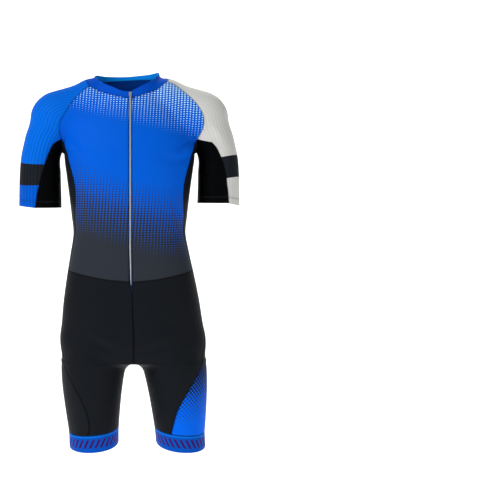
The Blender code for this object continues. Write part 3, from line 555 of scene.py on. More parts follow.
def sleeveGrid(lines):
    side = lines["side"]
    front = np.concatenate([lines["raglanFront"], lines["sleeveFront"][1:]])
    back = np.concatenate([lines["raglanBack"], lines["sleeveBack"][1:]])
    keys = (0, 0.45 * cells["raglan"], cells["raglan"], cells["raglan"] + cells["arm"])
    share = np.arange(len(front), dtype=float)
    level = 0.5 * (front[:, 2] + back[:, 2])
    out = smoothTable(keys, (70, 130, 205, 222), share)
    height = np.where(share <= cells["raglan"], smoothTable(keys, (-90, -104, -146, -325), share), level)
    centres = np.stack([side * out, 0 * out, height], axis=1)
    middles = route("crown", side, [cells["raglan"], cells["arm"]], (6,))
    return fan(centres, front, middles, back, cells["sleeve"])


def underSleeveGrid(lines):
    front, back = lines["sleeveFront"], lines["sleeveBack"]
    level = belowPit(0.5 * (front[:, 2] + back[:, 2]), lines)
    out = smoothTable((-330, -240, -195, -165), (222, 222, 219, 210), level)
    centres = np.stack([lines["side"] * out, 0 * out, level], axis=1)
    middles = cast(centres, turnedOut(centres, front, back, -lines["side"]), 1, 320)
    grid = fan(centres, front, middles, back, cells["side"])
    grid[0] = lines["pit"]
    return bridged(grid)


def neckPoint(turns, heights):  # turns start at the front and are positive towards the left side
    turns = np.radians(np.atleast_1d(np.asarray(turns, float)))
    heights = heights + collarCut["lean"] * collarCut["radius"] * np.sin(turns)
    centres = np.stack([0 * heights + collarCut["centre"], 0 * heights, heights], axis=1)
    return cast(centres, np.stack([np.sin(turns), -np.cos(turns), 0 * turns], axis=1), 1, 150)


def refined(grid, start, end, top, bottom):  # the coarse grid made fine, with its edges on the seams
    rows, columns, _ = grid.shape
    downAt = np.linspace(0, rows - 1, cells["fine"] * (rows - 1) + 1)
    acrossAt = np.linspace(0, columns - 1, cells["fine"] * (columns - 1) + 1)
    fine = smoothTable(np.arange(rows), grid.reshape(rows, -1), downAt).reshape(-1, columns, 3)
    fine = np.swapaxes(fine, 0, 1)
    fine = smoothTable(np.arange(columns), fine.reshape(columns, -1), acrossAt)
    fine = settled(np.swapaxes(fine.reshape(len(acrossAt), -1, 3), 0, 1), 2)
    for _ in range(2):
        across = np.clip(1 - np.arange(len(acrossAt)) / cells["edgeFade"], 0, 1)[None, :, None]
        fine += (start - fine[:, 0])[:, None] * across + (end - fine[:, -1])[:, None] * across[:, ::-1]
        down = np.clip(1 - np.arange(len(downAt)) / cells["edgeFade"], 0, 1)[:, None, None]
        fine += (top - fine[0])[None] * down + (bottom - fine[-1])[None] * down[::-1]
    fine[1:-1, 1:-1] = settled(fine[1:-1, 1:-1], 3)
    return fine


# Creases of the worn cloth: routes on the figure, with a height (below 0 is a trough) and a width.
creaseLook = {"strength": 2.0, "reach": 3.2, "uneven": 0.35, "points": 22, "ends": 0.7}
creases = {
    "columns": ("sides", "height", "width", "route"),
    "rows": (
        ("both", -1.6, 9, (("front", 166, -150), ("front", 140, -168), ("front", 112, -196))),
        ("both", 1.3, 8, (("front", 163, -166), ("front", 143, -182), ("front", 122, -206))),
        ("right", -1.5, 10, (("front", 160, -182), ("front", 128, -190), ("front", 88, -184))),
        ("left", -1.9, 12, (("front", 150, -196), ("front", 118, -206), ("front", 70, -200))),
        ("left", 1.2, 10, (("front", 158, -178), ("front", 124, -188), ("front", 84, -182))),
        ("both", -1.5, 8, (("back", 178, -146), ("back", 168, -172), ("back", 150, -198))),
        ("both", 1.3, 8, (("back", 166, -158), ("back", 156, -186), ("back", 136, -210))),
        ("both", -1.9, 8, (("back", 196, -118), ("back", 214, -136), ("back", 236, -160))),
        ("both", 1.4, 8, (("back", 200, -108), ("back", 222, -124), ("back", 246, -148))),
        ("both", -1.4, 9, (("front", 188, -122), ("front", 206, -138), ("front", 226, -170))),
        ("both", 1.1, 8, (("front", 192, -112), ("front", 214, -128), ("front", 236, -158))),
        ("both", -1.2, 10, (("front", 208, -262), ("front", 232, -268), ("front", 262, -256))),
        ("both", -1.1, 10, (("back", 208, -236), ("back", 234, -244), ("back", 262, -238))),
        ("both", -1.5, 11, (("front", 30, -690), ("front", 62, -676), ("front", 104, -650))),
        ("both", 1.0, 10, (("front", 34, -674), ("front", 66, -660), ("front", 108, -632))),
        ("both", -1.5, 11, (("back", 30, -700), ("back", 62, -690), ("back", 104, -676))),
        ("both", -1.0, 12, (("front", 128, -392), ("front", 96, -400), ("front", 56, -398))),
        ("both", -1.1, 12, (("back", 100, -386), ("back", 66, -396), ("back", 26, -396))),
        ("left", -1.0, 11, (("back", 92, -428), ("back", 58, -440), ("back", 16, -438))),
        ("right", -1.0, 12, (("front", 120, -436), ("front", 84, -446), ("front", 40, -440))),
    ),
}


def creaseLines():
    found = []
    for sides, height, width, rows in creases["rows"]:
        for side in {"both": (-1, 1), "left": (1,), "right": (-1,)}[sides]:
            line = spread([spot(*row, side) for row in rows], [creaseLook["points"]])
            found.append((line, height, width))
    return found


def roll(points):  # slow unevenness of the worn cloth, between about -1 and 1
    x, y, z = points[:, 0], points[:, 1], points[:, 2]
    return (
        0.45 * np.sin(x / 37 + 1.3 + 0.8 * np.sin(z / 61))
        * np.cos(z / 52 + y / 60) + 0.35 * np.sin(z / 27 + x / 88 + y / 70 + 0.6)
        + 0.25 * np.sin(x / 21 - z / 33 + y / 30)
    )


def foldHeight(points):  # how far the cloth stands out of the figure at each point
    uneven = creaseLook["uneven"] * roll(points)
    height = uneven.copy()
    for line, tall, width in creasePaths:
        margin = creaseLook["reach"] * width
        low, high = line.min(axis=0) - margin, line.max(axis=0) + margin
        near = np.flatnonzero(np.all((points > low) & (points < high), axis=1))
        if not len(near):
            continue
        gaps = np.linalg.norm(points[near, None] - line[None], axis=2)
        share = gaps.argmin(axis=1) / (len(line) - 1)
        ends = np.sin(np.pi * np.clip(share, 0.02, 0.98)) ** creaseLook["ends"]
        own = 1 + uneven[near]
        bulge = np.exp(-((gaps.min(axis=1) / (width * own)) ** 2))
        height[near] += creaseLook["strength"] * tall * ends * own * bulge
    return height


# Where each point of the torso lies on the printed cloth: round it, and down it.
layTable = {
    "top": -20, "bottom": -600, "step": 10, "turnStep": 4, "plain": 1.06, "chest": -150,
    "flatten": (-192, -158),
}
riseTable = {"reach": 216, "acrossStep": 8, "step": 5, "steepest": 12, "above": 31, "lookFrom": 300.0}


def makeLayTable():  # lengths round the torso from the middle of its front, level by level
    levels = np.arange(layTable["bottom"], layTable["top"] + 1, layTable["step"], dtype=float)
    angles = np.radians(np.arange(-180, 181, layTable["turnStep"], dtype=float))
    aims = np.stack([np.sin(angles), -np.cos(angles), 0 * angles], axis=1)
    ring = np.array([cast((float(sway(level)), 0.0, level), aims, 1, 320) for level in levels])
    around = lengths(ring, 1)
    return levels, around - around[:, len(angles) // 2][:, None]


def makeRiseTable(facing):  # how far up the cloth each height above the armpits is, front or back
    outs = np.arange(-riseTable["reach"], riseTable["reach"] + 1, riseTable["acrossStep"], dtype=float)
    top = layTable["top"] + riseTable["above"]
    levels = np.arange(layTable["chest"], top, riseTable["step"], dtype=float)
    grid = np.array([[(out, riseTable["lookFrom"] * facing, level) for out in outs] for level in levels])
    met = cast(grid.reshape(-1, 3), (0, -facing, 0), -1, riseTable["lookFrom"]).reshape(grid.shape)
    depth = np.clip(np.abs(np.diff(met[:, :, 1], axis=0)), 0, riseTable["steepest"])
    climbed = np.cumsum(np.sqrt(depth**2 + riseTable["step"] ** 2), axis=0)
    return outs, levels, np.concatenate([np.zeros((1, len(outs))), climbed]) + layTable["chest"]


def inTable(table, row, column):  # values between the rows and columns of a table
    row = np.clip(row, 0, table.shape[0] - 1.001)
    column = np.clip(column, 0, table.shape[1] - 1.001)
    r, c = row.astype(int), column.astype(int)
    fr, fc = row - r, column - c
    upper = table[r, c] * (1 - fc) + table[r, c + 1] * fc
    return upper * (1 - fr) + (table[r + 1, c] * (1 - fc) + table[r + 1, c + 1] * fc) * fr


def layOn(points, facing):  # facing -1 counts from the middle of the front, 1 from that of the back
    levels, around = layLevels
    z = points[:, 2]
    x = points[:, 0] - sway(z)
    turn = np.degrees(np.arctan2(x, -points[:, 1]))
    row = (z - levels[0]) / layTable["step"]
    across = inTable(around, row, (turn + 180) / layTable["turnStep"])
    if facing > 0:
        half = 0.5 * (inTable(around, row, 0 * row + around.shape[1]) - inTable(around, row, 0 * row))
        across = np.where(across > 0, across - half, across + half)
    share = smoothStep(*layTable["flatten"], z)
    outs, heights, climbed = riseLevels[facing]
    above = inTable(climbed, (z - heights[0]) / riseTable["step"], (x - outs[0]) / riseTable["acrossStep"])
    down = np.where(z < layTable["chest"], z, above)
    return across * (1 - share) + x * layTable["plain"] * -facing * share, down


def layPanel(grid, upright=False):  # from the middle column of a panel, and down it
    across = lengths(grid, 1)
    middle = grid.shape[1] // 2
    across = across - across[:, middle: middle + 1]
    if upright:
        return across.ravel(), grid[:, :, 2].ravel()
    return across.ravel(), np.repeat(-lengths(grid[:, middle]), grid.shape[1])


cloth = {
    "wall": 1.1, "seamDip": 0.55, "seamReach": 3.4, "sharp": 45,
    "hemWall": 2.0, "hemDepth": 15.0, "hemDip": 0.5, "hemDipReach": 2.4,
}


def newObject(name, data):
    made = bpy.data.objects.new(name, data)
    bpy.context.scene.collection.objects.link(made)
    return made


def clothObject(name, layers, faces, lay, marks, material):
    data = bpy.data.meshes.new(name)
    data.from_pydata((np.concatenate(layers) * mm).tolist(), [], faces)
    data.validate()
    held = data.attributes.new("lay", "FLOAT_VECTOR", "POINT")
    held.data.foreach_set("vector", np.tile(np.column_stack(lay) * mm, (len(layers), 1)).ravel())
    held = data.attributes.new("inside", "FLOAT", "POINT")
    held.data.foreach_set("value", np.repeat(np.arange(len(layers), dtype=float), len(layers[0])))
    for key, values in (marks or {}).items():
        held = data.attributes.new(key, "FLOAT", "POINT")
        held.data.foreach_set("value", np.tile(values, len(layers)))
    mesh = bmesh.new()
    mesh.from_mesh(data)
    bmesh.ops.recalc_face_normals(mesh, faces=mesh.faces)
    mesh.to_mesh(data)
    mesh.free()
    data.shade_smooth()
    data.set_sharp_from_angle(angle=math.radians(cloth["sharp"]))
    piece = newObject(name, data)
    data.materials.append(material)
    return piece


def edgeReach(grid, flags):  # distance of each point from the nearest seam
    reach = np.full(grid.shape[:2], 1e3)
    down, across = lengths(grid), lengths(grid, 1)
    for flag, table in zip(flags, (down, down[-1:] - down, across, across[:, -1:] - across)):
        if flag:
            reach = np.minimum(reach, table)
    return reach


def clothShell(name, grid, material, lay, seams=(1, 1, 1, 1), marks=None, proud=0.0, wall=None, hem=None):
    # seams flags the first row, last row, first column and last column; hem names open rows
    flat = grid.reshape(-1, 3)
    count = len(flat)
    normals = outward(flat)
    reach = edgeReach(grid, seams).reshape(-1)
    lift = foldHeight(flat) + proud - cloth["seamDip"] * np.exp(-((reach / cloth["seamReach"]) ** 2))
    outer = flat + normals * lift[:, None]
    walls = np.full(count, wall or cloth["wall"])
    if hem is not None:
        dip = cloth["hemDip"] * np.exp(-(((hem - cloth["hemDepth"]) / cloth["hemDipReach"]) ** 2))
        outer = outer - normals * dip[:, None]
        folded = smoothStep(cloth["hemDepth"] + 1, cloth["hemDepth"] - 1, hem)
        walls += (cloth["hemWall"] - cloth["wall"]) * folded
    inner = outer - normals * walls[:, None]
    place = np.arange(count).reshape(grid.shape[:2])
    corners = (place[:-1, :-1], place[:-1, 1:], place[1:, 1:], place[1:, :-1])
    quads = np.stack(corners, axis=-1).reshape(-1, 4)
    faces = quads.tolist() + (quads[:, ::-1] + count).tolist()
    for edge in (place[0, ::-1], place[-1], place[:, 0], place[::-1, -1]):
        faces += np.stack([edge[:-1], edge[:-1] + count, edge[1:] + count, edge[1:]], axis=1).tolist()
    return clothObject(name, (outer, inner), faces, (*lay, reach), marks, material)


stretch = 0.93  # a worn skinsuit's cut is this share of what it covers, each way
cuts = []


def sewPanel(name, grid, finish, lay, node, restsOn, **look):  # a cloth shell, whose cut size is listed in cuts
    piece = clothShell(name, grid, materials[finish], lay, **look)
    width = lengths(grid, 1)[:, -1].max() * mm * stretch
    length = lengths(grid)[-1].max() * mm * stretch
    a, b, c, d = grid[:-1, :-1], grid[:-1, 1:], grid[1:, 1:], grid[1:, :-1]
    covered = 0.5 * np.linalg.norm(np.cross(c - a, d - b), axis=-1).sum() * mm**2
    area = min(covered * stretch**2, width * length)
    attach(piece, "suit")
    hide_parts(node)
    cuts.append((name, round(width, 3), round(length, 3), round(area, 4)))


# Parts of node trees that more than one finish uses.
def feed(tree, socket, value):  # a socket linked to another one, or set
    if hasattr(value, "links"):
        tree.links.new(value, socket)
    elif value is not None:
        socket.default_value = value


def nodeIn(tree, kind, **inputs):  # a new node; _ in an input's name stands for a space
    node = tree.nodes.new(kind)
    for label, value in inputs.items():
        feed(tree, node.inputs[label.replace("_", " ")], value)
    return node


def newGroup(name, inputs, outputs):
    tree = bpy.data.node_groups.new(name, "ShaderNodeTree")
    for label, value in inputs.items():
        tree.interface.new_socket(label, in_out="INPUT", socket_type="NodeSocketFloat").default_value = value
    for label in outputs:
        tree.interface.new_socket(label, in_out="OUTPUT", socket_type="NodeSocketFloat")
    return tree, tree.nodes.new("NodeGroupInput").outputs, tree.nodes.new("NodeGroupOutput").inputs


def calc(tree, operation, *values):
    node = tree.nodes.new("ShaderNodeMath")
    node.operation = operation
    for socket, value in zip(node.inputs, values):
        feed(tree, socket, value)
    return node.outputs[0]


def mixColours(tree, share, first, second):
    node = tree.nodes.new("ShaderNodeMix")
    node.data_type = "RGBA"
    colours = [(*value, 1) if isinstance(value, tuple) else value for value in (first, second)]
    for at, value in zip((0, 6, 7), (share, *colours)):
        feed(tree, node.inputs[at], value)
    return node.outputs[2]


def scaled(tree, vector, share):
    node = tree.nodes.new("ShaderNodeVectorMath")
    node.operation = "SCALE"
    feed(tree, node.inputs[0], vector)
    feed(tree, node.inputs["Scale"], share)
    return node.outputs[0]


def shareOf(tree, value, low, high):
    return nodeIn(tree, "ShaderNodeMapRange", Value=value, From_Min=low, From_Max=high).outputs["Result"]


def attribute(tree, name):
    node = tree.nodes.new("ShaderNodeAttribute")
    node.attribute_name = name
    return node.outputs


def layParts(tree):  # across and down the cloth, and the distance from its nearest seam
    return nodeIn(tree, "ShaderNodeSeparateXYZ", Vector=attribute(tree, "lay")["Vector"]).outputs


def placeOf(tree):
    return tree.nodes.new("ShaderNodeTexCoord").outputs["Object"]


def placeParts(tree):  # out, back and up in the scene
    return nodeIn(tree, "ShaderNodeSeparateXYZ", Vector=placeOf(tree)).outputs


def noiseOf(tree, scale, detail):
    return nodeIn(tree, "ShaderNodeTexNoise", Vector=placeOf(tree), Scale=scale, Detail=detail).outputs["Fac"]


knitLook = {"rib": 0.6, "lean": 1.6, "row": 0.25, "patches": 9.0, "seamReach": 0.0016}


def knitGroup():
    # fine jersey: slanted loops in columns, as a height, a slow change of shade, and painted shade along its
    # seams
    tree, given, out = newGroup(
        "fineKnit", {"Loop Width": 0.0011, "Shade Change": 0.1, "Seam Shade": 0.6}, ("Height", "Shade")
    )
    lay = layParts(tree)
    across = calc(tree, "DIVIDE", lay[0], given["Loop Width"])
    down = calc(tree, "DIVIDE", lay[1], given["Loop Width"])
    leaning = calc(tree, "ABSOLUTE", calc(tree, "SINE", calc(tree, "MULTIPLY", across, math.pi)))
    loops = calc(tree, "MULTIPLY_ADD", leaning, knitLook["lean"], calc(tree, "MULTIPLY", down, 2 * math.pi))
    columns = calc(tree, "POWER", leaning, knitLook["rib"])
    height = calc(tree, "MULTIPLY_ADD", calc(tree, "SINE", loops), knitLook["row"], columns)
    slow = calc(tree, "SUBTRACT", noiseOf(tree, knitLook["patches"], 3.0), 0.5)
    shade = calc(tree, "MULTIPLY_ADD", slow, given["Shade Change"], 1.0)
    # painted shade: the cloth colour is darkened close to its seams, as much as Seam Shade asks
    near = calc(tree, "POWER", calc(tree, "DIVIDE", lay[2], -knitLook["seamReach"]), 2.0)
    near = calc(tree, "EXPONENT", calc(tree, "MULTIPLY", near, -1.0))
    near = calc(tree, "MULTIPLY", near, given["Seam Shade"])
    feed(tree, out["Height"], height)
    feed(tree, out["Shade"], calc(tree, "MULTIPLY", shade, calc(tree, "SUBTRACT", 1.0, near)))
    return tree


dotEdge = 0.05  # half the soft edge of a dot, in tone


def dotGroup():
    # halftone dots on the cloth's own lay: the share of print at a point for a given tone
    tree, given, out = newGroup(
        "printDots",
        {"Pitch Across": 0.008, "Pitch Down": 0.0051, "Slant": 0.08, "Tone": 0.5, "Rise": 0.0},
        ("Print",),
    )
    lay = layParts(tree)
    leaned = calc(tree, "MULTIPLY_ADD", lay[1], given["Slant"], lay[0])
    across = calc(tree, "SUBTRACT", calc(tree, "DIVIDE", leaned, given["Pitch Across"]), 0.5)
    raised = calc(tree, "MULTIPLY_ADD", lay[0], given["Rise"], lay[1])
    down = calc(tree, "DIVIDE", raised, given["Pitch Down"])
    waves = [calc(tree, "COSINE", calc(tree, "MULTIPLY", at, 2 * math.pi)) for at in (across, down)]
    wave = calc(tree, "MULTIPLY", calc(tree, "ADD", *waves), 0.25)
    level = calc(tree, "ADD", calc(tree, "SUBTRACT", wave, 0.5), given["Tone"])
    edge = nodeIn(tree, "ShaderNodeMapRange", Value=level, From_Min=-dotEdge, From_Max=dotEdge)
    edge.interpolation_type = "SMOOTHSTEP"
    feed(tree, out["Print"], edge.outputs["Result"])
    return tree


def ribGroup():
    # ribbed knit of the sleeves: soft ribs down the arm
    tree, given, out = newGroup("sleeveRibs", {"Pitch": 0.0062, "Sharpness": 2.0}, ("Height", "Valley"))
    across = calc(tree, "DIVIDE", layParts(tree)[0], given["Pitch"])
    wave = calc(tree, "COSINE", calc(tree, "MULTIPLY", across, 2 * math.pi))
    valley = calc(tree, "POWER", calc(tree, "MULTIPLY_ADD", wave, 0.5, 0.5), given["Sharpness"])
    feed(tree, out["Height"], calc(tree, "SUBTRACT", 1.0, valley))
    feed(tree, out["Valley"], valley)
    return tree


print("shader groups")
knit = knitGroup()
dots = dotGroup()
ribs = ribGroup()
relief = 0.00012  # height of the knit in the cloth's bump


def placed(tree, group, **values):
    node = tree.nodes.new("ShaderNodeGroup")
    node.node_tree = group
    for label, value in values.items():
        feed(tree, node.inputs[label.replace("_", " ")], value)
    return node.outputs


def newMaterial(name, roughness):
    material = bpy.data.materials.new(name)
    material.use_nodes = True
    tree = material.node_tree
    shader = tree.nodes["Principled BSDF"]
    shader.inputs["Roughness"].default_value = roughness
    shader.inputs["Specular IOR Level"].default_value = 0.035
    return material, tree, shader


def dressed(tree, shader, colour, shade, height, distance=relief):  # base colour and bump
    feed(tree, shader.inputs["Base Color"], scaled(tree, colour, shade))
    bump = nodeIn(tree, "ShaderNodeBump", Distance=distance, Strength=1.0, Height=height)
    feed(tree, shader.inputs["Normal"], bump.outputs["Normal"])


paint = {
    "blue": (0.0003, 0.112, 0.70),
    # sleeve blues: painted light above the band and painted shade on the cuff, on one blue cloth
    "sleeveBluePaintedLight": (0.0003, 0.150, 0.78),
    "cuffBluePaintedShade": (0.0003, 0.108, 0.66),
    "collarBlue": (0.0003, 0.078, 0.57),
    "collarInsidePaintedLight": (0.0003, 0.30, 0.98),
    "legBlue": (0.0003, 0.140, 0.88),
    "reverse": (0.0002, 0.042, 0.28),
    "charcoal": (0.029, 0.034, 0.045),
    "black": (0.0085, 0.0102, 0.0132),
    "sideBlack": (0.0100, 0.0118, 0.0150),
    "deepBlack": (0.0006, 0.0008, 0.0012),
    "white": (0.70, 0.695, 0.67),
    "dotWhite": (0.50, 0.80, 0.95),
    "band": (0.0125, 0.0150, 0.0210),
    "gripBlue": (0.0005, 0.085, 0.52),
    "gripSeam": (0.002, 0.17, 0.80),
    "gripBar": (0.045, 0.008, 0.12),
    "zipPale": (0.58, 0.64, 0.72),
    "zipFoldShade": (0.006, 0.016, 0.06),
}


def plainCloth(name, colour, roughness=0.55):
    material, tree, shader = newMaterial(name, roughness)
    fine = placed(tree, knit, Loop_Width=0.0011, Shade_Change=0.14)
    dressed(tree, shader, colour, fine["Shade"], fine["Height"])
    return material


def slope(tree, across, height, start, perAcross, curve):
    # height above a level that tilts and bends across the body, in metres
    tilt = calc(tree, "MULTIPLY_ADD", across, -curve, -perAcross)
    tilted = calc(tree, "MULTIPLY_ADD", across, tilt, height)
    return calc(tree, "SUBTRACT", tilted, start)


# Levels of the two fades: the height at the middle, its change across and its bend, in metres.
frontPrint = {
    "pitch": (0.0080, 0.0058), "slant": -0.07, "zip": 0.002,
    "whiteFade": (-0.128, -0.24, 0.0), "whiteReach": 0.125, "whiteMost": 0.47,
    "blackStart": (-0.236, -0.289, 0.835), "blackEnd": (-0.460, -0.27, 0.394), "hurry": 1.45,
}
backPrint = {
    "pitch": (0.0085, 0.0060), "slant": 0.12, "zip": 9.0,
    "whiteFade": (-0.130, -0.41, 0.0), "whiteReach": 0.125, "whiteMost": 0.56,
    "blackStart": (-0.248, -0.40, 0.0), "blackEnd": (-0.500, -0.16, 0.0), "hurry": 1.25,
}
tones = {"noWhite": -0.08, "whiteCurve": 0.8, "fullBlack": 1.08, "blackSpan": -1.17}
paintedZipShadow = {"from": 0.0072, "to": 0.0028, "darker": -0.5}  # painted shadow: the cloth is darker beside the zip
insideFrom = 0.35  # share of the wall from which it counts as the inside


def isInside(tree):
    return calc(tree, "GREATER_THAN", attribute(tree, "inside")["Fac"], insideFrom)


def printedCloth(name, look):
    material, tree, shader = newMaterial(name, 0.55)
    fine = placed(tree, knit, Loop_Width=0.0011, Shade_Change=0.12, Seam_Shade=0.3)
    across, _, height = placeParts(tree)
    share = shareOf(tree, slope(tree, across, height, *look["whiteFade"]), 0.0, look["whiteReach"])
    share = calc(tree, "POWER", share, tones["whiteCurve"])
    white = calc(tree, "MULTIPLY_ADD", share, look["whiteMost"] - tones["noWhite"], tones["noWhite"])
    fromStart = slope(tree, across, height, *look["blackStart"])
    depth = calc(tree, "SUBTRACT", slope(tree, across, height, *look["blackEnd"]), fromStart)
    gone = calc(tree, "DIVIDE", calc(tree, "MULTIPLY", fromStart, -1.0), depth)
    remains = calc(tree, "SUBTRACT", 1.0, calc(tree, "MAXIMUM", calc(tree, "MINIMUM", gone, 1.0), 0.0))
    remains = calc(tree, "POWER", remains, look["hurry"])
    black = calc(tree, "MULTIPLY_ADD", remains, tones["blackSpan"], tones["fullBlack"])
    colour = paint["blue"]
    for tone, ink in ((white, "dotWhite"), (black, "charcoal")):
        inked = placed(
            tree, dots, Pitch_Across=look["pitch"][0], Pitch_Down=look["pitch"][1],
            Slant=look["slant"], Tone=tone,
        )
        colour = mixColours(tree, inked["Print"], colour, paint[ink])
    colour = mixColours(tree, isInside(tree), colour, paint["reverse"])
    # painted shadow: the cloth colour is darkened in a strip on each side of the zip
    fromZip = calc(tree, "ABSOLUTE", calc(tree, "SUBTRACT", across, look["zip"]))
    beside = shareOf(tree, fromZip, paintedZipShadow["from"], paintedZipShadow["to"])
    shade = calc(tree, "MULTIPLY", fine["Shade"], calc(tree, "MULTIPLY_ADD", beside, paintedZipShadow["darker"], 1.0))
    dressed(tree, shader, colour, shade, fine["Height"])
    return material


def collarCloth(name):
    # plain outside; the inside has painted light along the top, and painted shade as it darkens down into the
    # neck
    material, tree, shader = newMaterial(name, 0.55)
    fine = placed(tree, knit, Loop_Width=0.0011, Shade_Change=0.12, Seam_Shade=0.3)
    down = shareOf(tree, attribute(tree, "drop")["Fac"], 0.005, 0.026)
    inner = mixColours(tree, down, paint["collarInsidePaintedLight"], paint["reverse"])
    colour = mixColours(tree, isInside(tree), paint["collarBlue"], inner)
    dressed(tree, shader, colour, fine["Shade"], fine["Height"])
    return material


def zipCloth(name):
    # a pale strip that hides the coil, with dark edges painted as the shade where the fronts fold back
    material, tree, shader = newMaterial(name, 0.5)
    fine = placed(tree, knit, Loop_Width=0.0008, Shade_Change=0.1, Seam_Shade=0.0)
    fromMiddle = calc(tree, "SUBTRACT", layParts(tree)[0], frontZip["centre"] * mm)
    edge = shareOf(tree, calc(tree, "ABSOLUTE", fromMiddle), 0.0015, 0.0019)
    colour = mixColours(tree, edge, paint["zipPale"], paint["zipFoldShade"])
    dressed(tree, shader, colour, fine["Shade"], fine["Height"], 0.0001)
    return material


sleeveLook = {"loop": 0.0013, "pitch": 0.0092, "sharpness": 4.0, "rib": 2.0, "knit": 0.8}


def sleeveCloth(name, upper, lower, ribShade):
    material, tree, shader = newMaterial(name, 0.6)
    fine = placed(tree, knit, Loop_Width=sleeveLook["loop"], Shade_Change=0.12, Seam_Shade=0.3)
    rib = placed(tree, ribs, Pitch=sleeveLook["pitch"], Sharpness=sleeveLook["sharpness"])
    above = attribute(tree, "bandTop")["Fac"]
    below = attribute(tree, "bandBottom")["Fac"]
    over = calc(tree, "GREATER_THAN", below, 0.0)
    inBand = calc(tree, "MINIMUM", calc(tree, "LESS_THAN", above, 0.0), over)
    colour = mixColours(tree, calc(tree, "LESS_THAN", below, 0.0), upper, lower)
    colour = mixColours(tree, inBand, colour, paint["band"])
    # painted shade: the cloth colour is darker in the valleys between the ribs, as much as ribShade
    deep = calc(tree, "MULTIPLY_ADD", rib["Valley"], -ribShade, 1.0)
    loops = calc(tree, "MULTIPLY", fine["Height"], sleeveLook["knit"])
    height = calc(tree, "MULTIPLY_ADD", rib["Height"], sleeveLook["rib"], loops)
    dressed(tree, shader, colour, calc(tree, "MULTIPLY", deep, fine["Shade"]), height)
    return material


legPrint = {
    "from": -0.862, "to": -0.665, "span": 1.3, "least": -0.06, "plainAbove": -0.42,
    "pitch": (0.010, -0.0095), "slant": 1.053, "rise": -0.95,
}


def legSideCloth(name):
    # the wearer's left side panel: charcoal, then blue through dots, then plain blue above the hem
    material, tree, shader = newMaterial(name, 0.55)
    fine = placed(tree, knit, Loop_Width=0.0011, Shade_Change=0.12)
    height = placeParts(tree)[2]
    tone = shareOf(tree, height, legPrint["from"], legPrint["to"])
    tone = calc(tree, "MULTIPLY_ADD", tone, legPrint["span"], legPrint["least"])
    inked = placed(
        tree, dots, Pitch_Across=legPrint["pitch"][0], Pitch_Down=legPrint["pitch"][1],
        Slant=legPrint["slant"], Tone=tone, Rise=legPrint["rise"],
    )
    colour = mixColours(tree, inked["Print"], paint["legBlue"], paint["black"])
    plain = calc(tree, "GREATER_THAN", height, legPrint["plainAbove"])
    dressed(tree, shader, mixColours(tree, plain, colour, paint["black"]), fine["Shade"], fine["Height"])
    return material


gripLook = {
    "pitch": 0.013, "bars": 31, "share": 0.46, "from": 0.010, "to": 0.031, "slant": -0.5, "seamBand": 0.005,
    "barRise": 4.0,
}


def gripCloth(name):
    material, tree, shader = newMaterial(name, 0.5)
    fine = placed(tree, knit, Loop_Width=0.0014, Shade_Change=0.1)
    drop = attribute(tree, "drop")["Fac"]
    leaned = calc(tree, "MULTIPLY_ADD", drop, gripLook["slant"], layParts(tree)[0])
    turns = calc(tree, "FRACT", calc(tree, "DIVIDE", leaned, gripLook["pitch"]))
    below = calc(tree, "GREATER_THAN", drop, gripLook["from"])
    within = calc(tree, "MINIMUM", below, calc(tree, "LESS_THAN", drop, gripLook["to"]))
    bar = calc(tree, "MINIMUM", calc(tree, "LESS_THAN", turns, gripLook["share"]), within)
    band = calc(tree, "LESS_THAN", drop, gripLook["seamBand"])
    colour = mixColours(tree, band, paint["gripBlue"], paint["gripSeam"])
    colour = mixColours(tree, bar, colour, paint["gripBar"])
    height = calc(tree, "MULTIPLY_ADD", bar, gripLook["barRise"], fine["Height"])
    dressed(tree, shader, colour, fine["Shade"], height, 0.0001)
    return material


def metalFinish(name, colour, roughness):
    material, tree, shader = newMaterial(name, roughness)
    shader.inputs["Metallic"].default_value = 1.0
    grain = noiseOf(tree, 900.0, 2.0)
    dressed(tree, shader, colour, calc(tree, "MULTIPLY_ADD", grain, 0.25, 0.86), grain, 0.00003)
    return material


materials = {
    "front": printedCloth("printedFront", frontPrint),
    "back": printedCloth("printedBack", backPrint),
    "black": plainCloth("blackCloth", paint["black"], 0.5),
    "charcoal": plainCloth("charcoalCloth", paint["charcoal"]),
    "deepBlack": plainCloth("underSleeveCloth", paint["deepBlack"], 0.5),
    "collar": collarCloth("collarCloth"),
    "sleeve_left": sleeveCloth("whiteRibbedSleeve", paint["white"], paint["white"], 0.09),
    "sleeve_right": sleeveCloth("blueRibbedSleeve", paint["sleeveBluePaintedLight"], paint["cuffBluePaintedShade"], 0.34),
    "side_left": legSideCloth("leftSideCloth"),
    "side_right": plainCloth("rightSideCloth", paint["sideBlack"], 0.5),
    "gripper_left": gripCloth("gripLeft"),
    "gripper_right": gripCloth("gripRight"),
    "metal": metalFinish("sliderMetal", (0.88, 0.85, 0.76), 0.32),
    "tape": zipCloth("zipTape"),
    "teeth": plainCloth("zipTeeth", (0.60, 0.62, 0.64), 0.35),
    "threadBlue": plainCloth("blueThread", (0.0005, 0.085, 0.55), 0.6),
    "threadBlack": plainCloth("blackThread", (0.004, 0.0045, 0.006), 0.6),
    "threadWhite": plainCloth("whiteThread", (0.66, 0.66, 0.64), 0.6),
    # the pale blue and grey threads are a painted highlight: paler than the cloth, so hem stitches show as
    # light lines
    "threadPaleHighlight": plainCloth("paleBlueThreadHighlight", (0.03, 0.26, 0.86), 0.6),
    "threadGreyHighlight": plainCloth("greyThreadHighlight", (0.06, 0.066, 0.075), 0.6),
}

print("seams")
left, right = seamLines(1), seamLines(-1)
creasePaths = creaseLines()
layLevels = makeLayTable()
riseLevels = {facing: makeRiseTable(facing) for facing in (-1, 1)}
spine = spineGrid(left, right)
split = cells["raglan"] + cells["backSide"]
fineSplit = split * cells["fine"]

